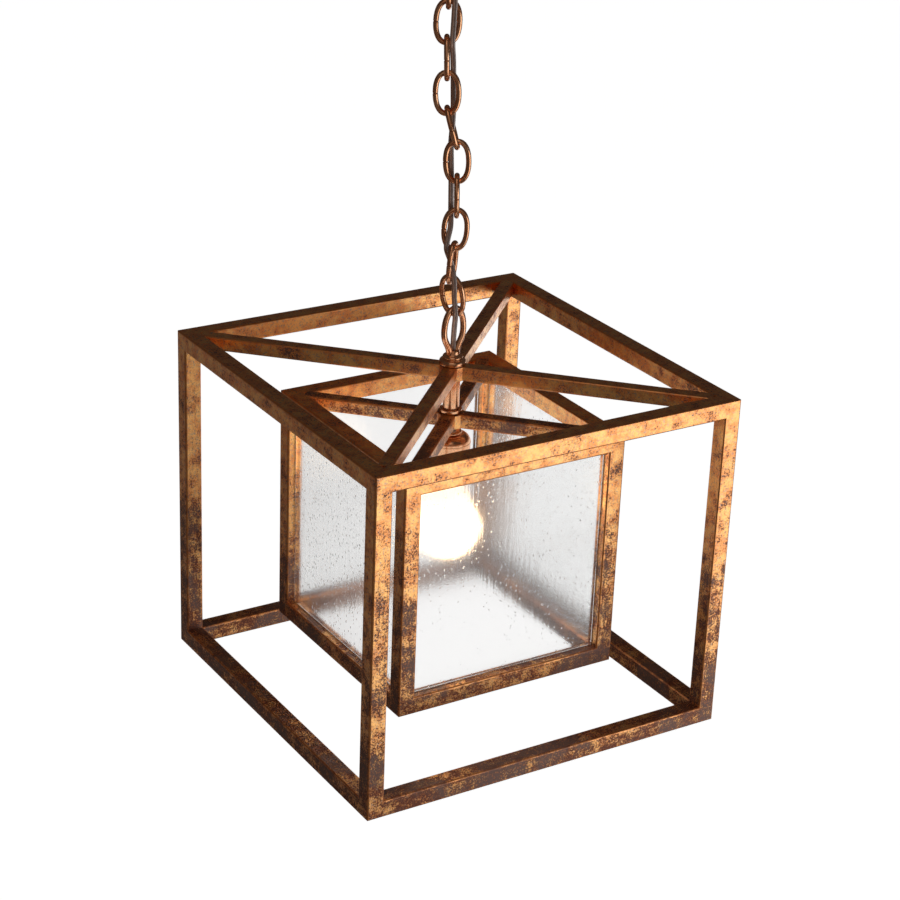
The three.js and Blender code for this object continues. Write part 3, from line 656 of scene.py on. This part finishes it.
def chain_link(number, centre, across, down):
    """One link: the wire's round section carried round the outline, its butted ends eased and closed."""
    line, tangent, s = link_outline(LINK_SEAM)
    across = unit(across)
    up = -unit(down - across * (down @ across))
    flat = np.cross(across, up)
    path = centre + line[:, :1] * across + line[:, 1:] * up
    in_plane = tangent[:, 1:] * across - tangent[:, :1] * up
    radius = np.full(len(path), LINK_WIRE / 2)
    ease_in = 0.35 * MM
    direction = tangent[:, :1] * across + tangent[:, 1:] * up
    ends = []
    for k, sign in ((0, 1), (-1, -1)):
        ends.append(np.stack([path[k], path[k], path[k] + sign * direction[k] * ease_in]))
    path = np.concatenate([ends[0], path[1:-1], ends[1][::-1]])
    spread = np.concatenate([in_plane[:1]] * 3 + [in_plane[1:-1]] + [in_plane[-1:]] * 3)
    radius = np.concatenate([[0, 0.84, 1], np.ones(len(radius) - 2), [1, 0.84, 0]]) * LINK_WIRE / 2
    normal = np.broadcast_to(flat, path.shape)
    grid = carried_ring(path, spread, normal, radius, 24)
    length = np.concatenate([s[:1] - ease_in, s[:1], s[:1], s[1:-1], s[-1:], s[-1:], s[-1:] + ease_in])
    angle = np.linspace(0, 2 * np.pi, 24, endpoint=False)
    grain = np.stack([
        length[:, None] * 0.06 + 0 * angle + number,
        LINK_WIRE / 2 * np.cos(angle) + 0 * length[:, None],
        LINK_WIRE / 2 * np.sin(angle) + 0 * length[:, None],
    ], -1)
    # Wear and painted edge highlight on one side of the wire.
    wear_and_highlight = np.clip(np.cos(angle), 0, 1)[None, :] ** 3 * 0.35
    name = f"chain_link_{number:02d}"
    sheet = (grid, False, True, grain, wear_and_highlight)
    make_piece(f"{name}_wire", f"link_{number:02d}", rubbed, [sheet], [name])


def chain():
    """The ten links, each from its own node's centre to the point where the next joint is."""
    for number in range(1, 11):
        low, high = corners(f"chain_link_{number:02d}")
        below = joints[f"link_{number + 1:02d}_swing" if number < 10 else "lantern_swing"]
        centre = (low + high) / 2
        chain_link(number, centre, np.array(below["axis"]), np.array(below["pos_m"]) - centre)


# ---- lamp wire ----
WIRE_ROUTE = np.array([
    [0, 0, -0.6], [0, 0, -20], [0, 0, -38], [0.6, -1.4, -51], [5.1, -5.2, -67.5], [5.2, -5.2, -83],
    [5, -5, -98], [4.7, -5.2, -113], [4.3, -5, -129], [5.2, 0, -142], [5.8, 5, -154.5], [6.4, 5.1, -171],
    [6.9, 4.9, -186.5], [6.7, 3.6, -200.9], [6.1, 4.9, -215], [6.7, 5.2, -230], [7.3, 5, -244.7],
    [7.7, 5, -259.6], [8.1, 4.9, -275], [8.3, 0, -287], [6.4, -4.6, -297], [5.7, -4.9, -305],
    [10.4, -3.4, -319], [13.1, -6.7, -332.5], [14, -6.8, -348.4], [15.4, -6, -363], [14.8, -2, -379],
    [14.5, 0.9, -392], [14.5, 0.9, -411], [14.5, 0.9, -436], [14.5, 0.9, -462], [14.5, 0.9, -487],
]) * MM


def smooth_route(points, steps):
    """Centripetal curve through the points: between two of them a cubic whose end slopes come from the four
    nearest, weighed by the square root of the distances."""
    ends = np.concatenate([2 * points[:1] - points[1:2], points, 2 * points[-1:] - points[-2:-1]])
    gap = np.sqrt(np.linalg.norm(np.diff(ends, axis=0), axis=1))[:, None]
    p0, p1, p2, p3 = ends[:-3], ends[1:-2], ends[2:-1], ends[3:]
    g0, g1, g2 = gap[:-2], gap[1:-1], gap[2:]
    first = ((p1 - p0) / g0 - (p2 - p0) / (g0 + g1) + (p2 - p1) / g1) * g1
    last = ((p2 - p1) / g1 - (p3 - p1) / (g1 + g2) + (p3 - p2) / g2) * g1
    t = np.linspace(0, 1, steps, endpoint=False)[None, :, None]
    a, b, c, d = p1[:, None], first[:, None], p2[:, None], last[:, None]
    curve = (2 * t ** 3 - 3 * t ** 2 + 1) * a + (t ** 3 - 2 * t ** 2 + t) * b
    curve = curve + (3 * t ** 2 - 2 * t ** 3) * c + (t ** 3 - t ** 2) * d
    return np.concatenate([curve.reshape(-1, 3), points[-1:]])


def lamp_wire():
    """Twin lead along the route, in one piece for each joint it crosses: a two-lobed section, pinched in
    the middle, carried along the curve with its width across the chain."""
    turn = math.radians(CHAIN_TURN)
    spin = np.array([[math.cos(turn), math.sin(turn), 0], [-math.sin(turn), math.cos(turn), 0], [0, 0, 1]])
    path = smooth_route(WIRE_ROUTE, 12) @ spin
    tangent = unit(np.gradient(path, axis=0))
    normal = unit(np.cross(tangent, np.broadcast_to(spin[0], tangent.shape)))
    width = np.cross(normal, tangent)
    angle = np.linspace(0, 2 * np.pi, 24, endpoint=False)
    wide = np.cos(angle) * WIRE_WIDTH / 2
    pinch = 1 - 0.42 * np.exp(-(wide / (0.16 * WIRE_WIDTH)) ** 2)
    thick = np.sign(np.sin(angle)) * np.abs(np.sin(angle)) ** 0.8 * WIRE_THICKNESS / 2 * pinch
    skin = path[:, None] + wide[:, None] * width[:, None] + thick[:, None] * normal[:, None]
    length = run(path)[:, None]
    grain = np.stack([length * 0.06 + 0 * wide, wide + 0 * length, thick + 0 * length], -1)
    lobe = np.clip(0.5 + wide / WIRE_WIDTH, 0, 1)
    heights = [np.mean(corners(f"chain_link_{k:02d}"), axis=0)[2] for k in range(1, 11)]
    cuts = [0] + [int(np.argmin(np.abs(path[:, 2] - height))) for height in heights] + [len(path) - 1]
    for k in range(11):
        first, last = cuts[k], cuts[k + 1]
        rows = np.concatenate([[first], np.arange(first, last + 1), [last]])
        grid = skin[rows].copy()
        grid[0], grid[-1] = path[first], path[last]
        sheet = (grid, False, True, grain[rows], lobe)
        piece = make_piece(f"lamp_wire_{k + 1:02d}", None, lead, [sheet], ["lamp_wire"])
        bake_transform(piece)


# ---- hanging loops ----
def loop_line(rise):
    """Middle line of a loop from foot to foot: four cubic curves, two up the sides to where it is widest
    and two over the crown, as points and directions in its own plane."""
    half = (LOOP_WIDTH - LOOP_LIMB) / 2
    foot = NECK_RADIUS - LOOP_LIMB / 2
    low = NECK_HEIGHT - LOOP_LIMB
    widest = rise * LOOP_WIDEST
    up, over = widest - low, rise - widest
    side = np.array([[foot, low], [foot, low + up * 0.45], [half, widest - up * 0.5], [half, widest]])
    crown = np.array([[half, widest], [half, widest + over * 0.56], [half * 0.565, rise], [0, rise]])
    mirror = np.array([-1, 1])
    pieces = np.stack([side * mirror, crown * mirror, crown[::-1], side[::-1]])
    t = np.linspace(0, 1, 20, endpoint=False)[None, :, None]
    p0, p1, p2, p3 = (pieces[:, k, None] for k in range(4))
    line = (1 - t) ** 3 * p0 + 3 * t * (1 - t) ** 2 * p1 + 3 * t ** 2 * (1 - t) * p2 + t ** 3 * p3
    line = np.concatenate([line.reshape(-1, 2), side[:1]])
    return line, unit(np.gradient(line, axis=0))


def hanging_loop(name, node, body, seat, turn, flip, rise, bell_radius, bore, foot):
    """A cast loop: its round limb carried along the pear line, and the turned bell under it, which is bored
    through. A loop with a foot has its thread below the bell."""
    turn = math.radians(turn)
    across = np.array([math.cos(turn), math.sin(turn), 0])
    up = np.array([0, 0, flip])
    line, tangent = loop_line(rise)
    path = seat + line[:, :1] * across + line[:, 1:] * up
    spread = tangent[:, 1:] * across - tangent[:, :1] * up
    normal = np.broadcast_to(np.cross(across, up), path.shape)
    swell = 1 + 0.22 * np.exp(-((line[:, 1] - line[0, 1]) / (8 * MM)) ** 2)
    radius = LOOP_LIMB / 2 * swell
    path = np.concatenate([path[:1], path, path[-1:]])
    spread = np.concatenate([spread[:1], spread, spread[-1:]])
    normal = np.concatenate([normal[:1], normal, normal[-1:]])
    grid = carried_ring(path, spread, normal, np.concatenate([[0], radius, [0]]), 28)
    # The whole limb gets a little wear and painted edge highlight.
    limb = (grid, False, True, None, 0.15)
    make_piece(f"{name}_ring", body, rubbed, [limb], [node])
    outline = rounded([
        [bore, 0],
        [bell_radius, 0],
        [bell_radius, BELL_RIM * 0.62],
        [bell_radius * 0.93, BELL_RIM * 0.9],
        [NECK_RADIUS + 2.0 * MM, BELL_RIM],
        [NECK_RADIUS + 2.9 * MM, BELL_RIM + 1.5 * MM],
        [NECK_RADIUS + 2.2 * MM, BELL_RIM + 3.1 * MM],
        [NECK_RADIUS + 0.1 * MM, BELL_RIM + 3.9 * MM],
        [NECK_RADIUS - 0.3 * MM, NECK_HEIGHT - 2 * MM],
        [NECK_RADIUS - 0.9 * MM, NECK_HEIGHT],
        [bore, NECK_HEIGHT],
    ], 0.9 * MM, closed=True)
    bell = lathe(outline, seat, closed=True, segments=72, flip=flip)
    sheets = [bell]
    if foot:
        rows = np.linspace(0, 1, 60)[:, None]
        wall = np.concatenate([0 * rows + 4.6 * MM, -foot + rows * foot], axis=1)
        thread = np.concatenate([[[bore, -foot], [4.2 * MM, -foot]], wall, [[bore, 0.0]]])
        sheets.append(lathe(
            thread, seat, closed=True, segments=48, flip=flip, thread=(-foot, 0, 0.28 * MM, 1 * MM),
        ))
    make_piece(f"{name}_bell", body, rubbed, sheets, [node])


# ---- canopy ----
def canopy_parts():
    """Domed canopy, turned with an even wall and a rolled rim, its collar nut, and the loop screwed up into
    the strap."""
    low, high = corners("canopy")
    radius, depth = (high[0] - low[0]) / 2, high[2] - low[2]
    flat, wall, rim = 14 * MM, 1.2 * MM, 3 * MM
    hole = 5.2 * MM
    bend = np.linspace(0, np.pi / 2, 25)
    outer = np.stack([flat + (radius - flat) * np.cos(bend), -rim + (rim - depth) * np.sin(bend)], -1)
    inner = np.stack([
        flat + (radius - wall - flat) * np.cos(bend),
        -rim + (rim - depth + wall) * np.sin(bend),
    ], -1)
    lip = rounded([[radius - wall, -rim], [radius - wall, 0], [radius, 0], [radius, -rim]], 0.5 * MM)
    outline = np.concatenate([lip[:-1], outer, [[hole, -depth], [hole, wall - depth]], inner[::-1][:-1]])
    shell = lathe(outline, np.array([0, 0, high[2]]), closed=True, segments=128)
    make_piece("canopy_shell", "canopy", copper, [shell], ["canopy"])
    low, high = corners("canopy_collar_nut")
    radius = (high[0] - low[0]) / 2
    height = high[2] - low[2]
    nut = rounded([[hole, 0], [radius, 0], [radius, height], [hole, height]], 1.1 * MM, closed=True)
    sheet = lathe(nut, np.array([0, 0, low[2]]), closed=True, segments=96)
    grid = sheet[0]
    angle = np.linspace(0, 2 * np.pi, 96, endpoint=False)
    out = np.hypot(grid[..., 0], grid[..., 1])
    knurl = 1 - 0.012 * (0.5 + 0.5 * np.cos(angle * 32))[None, :] * (out > radius * 0.9)
    grid[..., 0] *= knurl
    grid[..., 1] *= knurl
    make_piece("collar_nut", "canopy", copper, [sheet], ["canopy_collar_nut"])
    seat = np.array([0, 0, low[2] - 0.3 * MM])
    hanging_loop(
        "canopy_loop", "canopy_loop", "canopy", seat, CHAIN_TURN, -1, 38 * MM, 9 * MM, 3.2 * MM,
        -seat[2] - 0.3 * MM,
    )


# ---- stem and lampholder ----
def stem_parts():
    """Stem tube, ring collar and threaded pipe, all turned about the lantern's middle."""
    def outline_of(node, bore, ease_radius):
        low, high = corners(node)
        radius, height = (high[0] - low[0]) / 2, high[2] - low[2]
        line = rounded([[bore, 0], [radius, 0], [radius, height], [bore, height]], ease_radius, closed=True)
        return line, np.array([outer_top[0], outer_top[1], low[2]])
    room = PIPE_RADIUS + 0.3 * MM
    for name, node, eased in (("stem", "stem_tube", 0.4 * MM), ("stem_collar", "lower_collar", 1.0 * MM)):
        line, foot = outline_of(node, room, eased)
        make_piece(name, "lantern", rubbed, [lathe(line, foot, True, 56)], [node])
    low, high = corners("threaded_pipe")
    height = high[2] - low[2]
    depth = 0.25 * MM
    rows = np.linspace(0, height, 300)[:, None]
    wall = np.concatenate([0 * rows + PIPE_RADIUS - depth, rows], axis=1)
    line = np.concatenate([[[PIPE_BORE, 0]], wall, [[PIPE_BORE, height]]])
    foot = np.array([outer_top[0], outer_top[1], low[2]])
    pipe = lathe(line, foot, True, 40, thread=(0, height, depth, 1 * MM))
    make_piece("stem_pipe", "lantern", zinc, [pipe], ["threaded_pipe"])


def lampholder():
    """Spun cup with its knob, the black insulator and the threaded brass shell inside it."""
    low, high = corners("socket_cup")
    top = np.array([outer_top[0], outer_top[1], high[2]])
    radius = (high[0] - low[0]) / 2
    wall, knob, knob_height, dome_height = 1 * MM, KNOB_RADIUS, KNOB_HEIGHT, DOME_HEIGHT
    bore = PIPE_RADIUS + 0.3 * MM
    bend = np.linspace(0, np.pi / 2, 12)[1:]

    def dome(out, drop):
        return np.stack([
            knob + (out - knob) * np.sin(bend),
            -knob_height - drop - (dome_height - drop) * (1 - np.cos(bend)),
        ], -1)

    swell = np.linspace(np.pi / 2, -np.pi / 2, 12)
    ring = np.stack([knob - 2.4 * MM + 2.4 * MM * np.cos(swell), 1.6 * MM * (np.sin(swell) - 1)], -1)
    depth = low[2] - high[2]
    seam = -knob_height - dome_height - 0.8 * MM
    bead = np.stack([radius - 0.3 * MM + 0.3 * MM * np.cos(swell), seam + 0.7 * MM * np.sin(swell)], -1)
    outline = np.concatenate([
        [[bore, 0]], ring, dome(radius - 0.3 * MM, 0),
        bead, [[radius - 0.3 * MM, depth], [radius - wall, depth]],
        dome(radius - wall, wall)[::-1], [[bore, -knob_height - wall]],
    ])
    cup = lathe(outline, top, True, 80)
    make_piece("lampholder_cup", "lantern", rubbed, [cup], ["socket_cup"])
    low, high = corners("socket_insulator")
    out = (high[0] - low[0]) / 2
    deep = low[2] - high[2]
    bore, inside, floor_low = 3.2 * MM, out - INSULATOR_WALL, -INSULATOR_FLOOR
    line = rounded([
        [bore, 0], [out, 0], [out, deep], [inside, deep], [inside, floor_low], [bore, floor_low],
    ], 0.4 * MM, closed=True)
    sheet = lathe(line, np.array([top[0], top[1], high[2]]), True, 64)
    make_piece("insulator", "lantern", phenolic, [sheet], ["socket_insulator"])
    low, high = corners("socket_screw_shell")
    out = (high[0] - low[0]) / 2
    deep = high[2] - low[2]
    rows = np.linspace(0, deep, 60)[:, None]
    outside = np.concatenate([0 * rows + out - 0.25 * MM, rows], axis=1)
    inside = np.concatenate([0 * rows + out - 0.45 * MM, rows], axis=1)
    line = np.concatenate([outside, inside[::-1]])
    sheet = lathe(line, np.array([top[0], top[1], low[2]]), True, 64, thread=(0, deep, 0.2 * MM, SCREW_LEAD))
    make_piece("screw_shell", "lantern", brass, [sheet], ["socket_screw_shell"])


def bulb():
    """Screw base with its rolled thread and contact, and the globe: a ball that runs into its neck along a
    cubic curve, with an even wall."""
    low, high = corners("bulb_base")
    top = np.array([outer_top[0], outer_top[1], high[2]])
    base = (high[0] - low[0]) / 2
    tall = high[2] - low[2]
    rows = np.linspace(-tall + 1.5 * MM, -6.5 * MM, 70)[:, None]
    wall = np.concatenate([0 * rows + base - 0.55 * MM, rows], axis=1)
    line = np.concatenate([
        [[0, 0], [3.4 * MM, 0], [4 * MM, -0.5 * MM], [4 * MM, -1.5 * MM], [base - 4 * MM, -2.5 * MM]],
        [[base - 1.2 * MM, -5 * MM]], wall[::-1], [[base, -tall + 0.8 * MM], [base, -tall]],
        [[base - 0.8 * MM, -tall], [base - 1.3 * MM, -8 * MM], [0, -8 * MM]],
    ])
    sheet = lathe(line, top, False, 64, thread=(-tall + 1.5 * MM, -6 * MM, 0.5 * MM, SCREW_LEAD))
    make_piece("bulb_screw_base", "bulb", brass, [sheet], ["bulb_base"])
    low, high = corners("bulb_glass")
    tip = low[2] - top[2]
    neck_top = high[2] - top[2]
    join = math.radians(35)

    def outline(inset):
        radius = BULB_RADIUS - inset
        centre = tip + BULB_RADIUS
        neck = base - 1.1 * MM - inset
        neck_end = -tall - 3 * MM
        angle = np.linspace(-np.pi / 2, join, 40)
        ball = np.stack([radius * np.cos(angle), centre + radius * np.sin(angle)], -1)
        end = ball[-1]
        pull = (neck_end - end[1]) * 0.42
        p1 = end + pull * np.array([-math.sin(join), math.cos(join)])
        p2, p3 = np.array([neck, neck_end - pull]), np.array([neck, neck_end])
        t = np.linspace(0, 1, 18)[1:, None]
        curve = (1 - t) ** 3 * end + 3 * t * (1 - t) ** 2 * p1 + 3 * t ** 2 * (1 - t) * p2 + t ** 3 * p3
        ball[0, 0] = 0
        return np.concatenate([ball, curve, [[neck, neck_top]]])

    line = np.concatenate([outline(0), outline(1 * MM)[::-1]])
    sheet = lathe(line, top, False, 72)
    make_piece("bulb_globe", "bulb", glow, [sheet], ["bulb_glass"])


# ---- glass ----
def glass_pane(wall, index):
    """Drawn glass: two faces a thickness apart that swell and thin by three crossed sine waves, and come
    together round the rim on a half circle."""
    low, high = corners(f"glass_pane_{wall}")
    quarter = (index - 2) * np.pi / 2
    outward = np.array([-math.sin(quarter), math.cos(quarter), 0])
    along = np.array([math.cos(quarter), math.sin(quarter), 0])
    centre, size = (low + high) / 2, high - low
    half_wide = abs(size @ along) / 2 + PANE_REACH
    half_tall = size[2] / 2 + PANE_REACH
    half_thick = abs(size @ outward) / 2
    rim = np.sin(np.linspace(0, np.pi / 2, 5))

    def spread(half):
        edge = half - half_thick * (1 - rim)
        middle = np.linspace(-(half - half_thick), half - half_thick, 48)
        return np.concatenate([-edge[::-1], middle[1:-1], edge])

    u, v = np.meshgrid(spread(half_wide), spread(half_tall))
    lean_u = np.clip((np.abs(u) - (half_wide - half_thick)) / half_thick, 0, 1)
    lean_v = np.clip((np.abs(v) - (half_tall - half_thick)) / half_thick, 0, 1)
    fall = np.sqrt(np.clip(1 - lean_u ** 2, 0, 1) * np.clip(1 - lean_v ** 2, 0, 1))
    phase = index * 1.7
    waves = np.sin(u * 95 + 3 * np.sin(v * 31 + phase)) + np.sin(u * 210 + v * 23 + phase) * 0.5
    waves = waves + np.sin(v * 70 + 2 * np.sin(u * 44 + phase)) * 0.6
    sheets = []
    for side in (1, -1):
        depth = side * fall * (half_thick - 0.035 * MM * (2.1 - waves * side) / 2.1)
        flat = centre + u[..., None] * along + v[..., None] * np.array([0, 0, 1])
        sheets.append(flat + depth[..., None] * outward)
    grid = np.stack(sheets)
    rows, columns = u.shape
    faces = [grid_faces(rows, columns, False, False, first) for first in (0, rows * columns)]
    return grid, faces, outward


def glass():
    """The four panes: each is a front and a back grid, merged round the rim."""
    for index, wall in enumerate(WALLS):
        grid, faces, outward = glass_pane(wall, index)
        flat = grid.reshape(-1, 3)
        front, back = faces
        a, b, c = (flat[front[:, k]] for k in range(3))
        if (np.cross(b - a, c - a) @ outward).sum() < 0:
            front, back = front[:, ::-1], back
        else:
            back = back[:, ::-1]
        name = f"pane_{wall}"
        data = bpy.data.meshes.new(name)
        data.from_pydata(flat, [], np.concatenate([front, back]))
        work = bmesh.new()
        work.from_mesh(data)
        bmesh.ops.remove_doubles(work, verts=work.verts, dist=2e-6)
        work.to_mesh(data)
        work.free()
        data.polygons.foreach_set("use_smooth", np.ones(len(data.polygons), bool))
        data.materials.append(clear)
        piece = bpy.data.objects.new(name, data)
        bpy.context.scene.collection.objects.link(piece)
        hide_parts(f"glass_pane_{wall}")
        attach(piece, "lantern")


# ---- assembly ----
bulb_middle = np.array([outer_top[0], outer_top[1], corners("bulb_glass")[0][2] + BULB_RADIUS])
copper = antique_copper("antique_copper", 0.0)
rubbed = antique_copper("rubbed_copper", 1.0)
clear = seeded_glass()
glow = glowing_glass()
brass = bright_brass()
phenolic = black_phenolic()
zinc = zinc_steel()
lead = brown_lead()

lamp_wire()
square_frame("outer", outer_top, outer_side, outer_height, STEM_RADIUS)
square_frame("inner", inner_top, inner_side, inner_height, PIPE_RADIUS)
chain()
canopy_parts()
loop_seat = np.array([outer_top[0], outer_top[1], corners("fixture_loop")[0][2]])
hanging_loop(
    "fixture_loop", "fixture_loop", "lantern", loop_seat, LOOP_TURN, 1, 50.6 * MM, 11.7 * MM, PIPE_BORE, 0,
)
stem_parts()
lampholder()
bulb()
glass()
strap = frame["nodes"]["mounting_strap"]
strap.data.materials.clear()
strap.data.materials.append(zinc)


# ---- floor, lights and surroundings ----
def floor():
    """Wide pale floor far below the lantern, evenly lit from itself so that it stays near white."""
    data = bpy.data.meshes.new("floor")
    reach = 14.0
    square = np.array([[-reach, -reach, 0], [reach, -reach, 0], [reach, reach, 0], [-reach, reach, 0]])
    data.from_pydata(square + [0, 0, -2.2], [], [[0, 1, 2, 3]])
    plane = bpy.data.objects.new("floor", data)
    bpy.context.scene.collection.objects.link(plane)
    material, tree, shader, _ = new_material("pale_floor")
    plug(tree, shader, {
        "Base Color": rgb(0.8, 0.8, 0.8),
        "Roughness": 0.9,
        "Emission Color": rgb(1.0, 1.0, 1.0),
        "Emission Strength": 0.97,
    })
    data.materials.append(material)
    plane.visible_glossy = False
    plane.visible_diffuse = False


def area_light(name, direction, distance, size, power, colour=(1, 1, 1)):
    """Square soft light at a distance from the lantern's middle, facing it."""
    data = bpy.data.lights.new(name, "AREA")
    data.shape = "SQUARE"
    data.size = size
    data.energy = power
    data.color = colour
    light = bpy.data.objects.new(name, data)
    target = Vector(outer_top) + Vector((0, 0, -outer_height / 2))
    direction = Vector(direction).normalized()
    light.location = target + direction * distance
    light.rotation_mode = "QUATERNION"
    light.rotation_quaternion = direction.to_track_quat("Z", "Y")
    bpy.context.scene.collection.objects.link(light)
    light.visible_camera = False
    light.visible_transmission = False
    return light


def bulb_light():
    """Warm light from the middle of the lit bulb, as wide as its glass."""
    data = bpy.data.lights.new("bulb_light", "POINT")
    data.shadow_soft_size = 0.024
    data.energy = 0.12
    data.color = (1.0, 0.62, 0.30)
    light = bpy.data.objects.new("bulb_light", data)
    light.location = bulb_middle
    bpy.context.scene.collection.objects.link(light)
    light.visible_camera = False
    light.visible_transmission = False
    light.visible_glossy = False


floor()
area_light("key", (0.52, -0.80, -0.20), 1.5, 1.3, 8.6)
area_light("front", (-0.49, -0.77, 0.45), 2.2, 2.0, 2.6, (1.0, 0.84, 0.74))
area_light("left_back", (-0.50, 0.77, -0.38), 1.6, 1.1, 0.50, (1.0, 0.84, 0.76))
area_light("right_rim", (0.774, 0.489, -0.402), 1.6, 0.8, 2.6)
area_light("left_front", (-0.774, -0.489, -0.402), 1.7, 0.8, 0.25)
area_light("top_fill", (-0.35, -0.45, 1.0), 2.4, 1.2, 2.8, (1.0, 0.86, 0.78))
bulb_light()

world = bpy.data.worlds.new("studio")
world.use_nodes = True
world_tree = world.node_tree
world_tree.nodes.clear()
seen = add(world_tree, "ShaderNodeLightPath")
straight = calc(world_tree, "MAXIMUM", seen.outputs["Is Camera Ray"], seen.outputs["Is Transmission Ray"])
dim = add(world_tree, "ShaderNodeBackground", {0: rgb(1.0, 0.78, 0.66), 1: 0.055})
pale = add(world_tree, "ShaderNodeBackground", {0: rgb(1.0, 1.0, 1.0), 1: 0.97})
both = add(world_tree, "ShaderNodeMixShader", {0: straight, 1: dim.outputs[0], 2: pale.outputs[0]})
add(world_tree, "ShaderNodeOutputWorld", {0: both.outputs[0]})
bpy.context.scene.world = world
bpy.context.scene.view_settings.view_transform = "Standard"
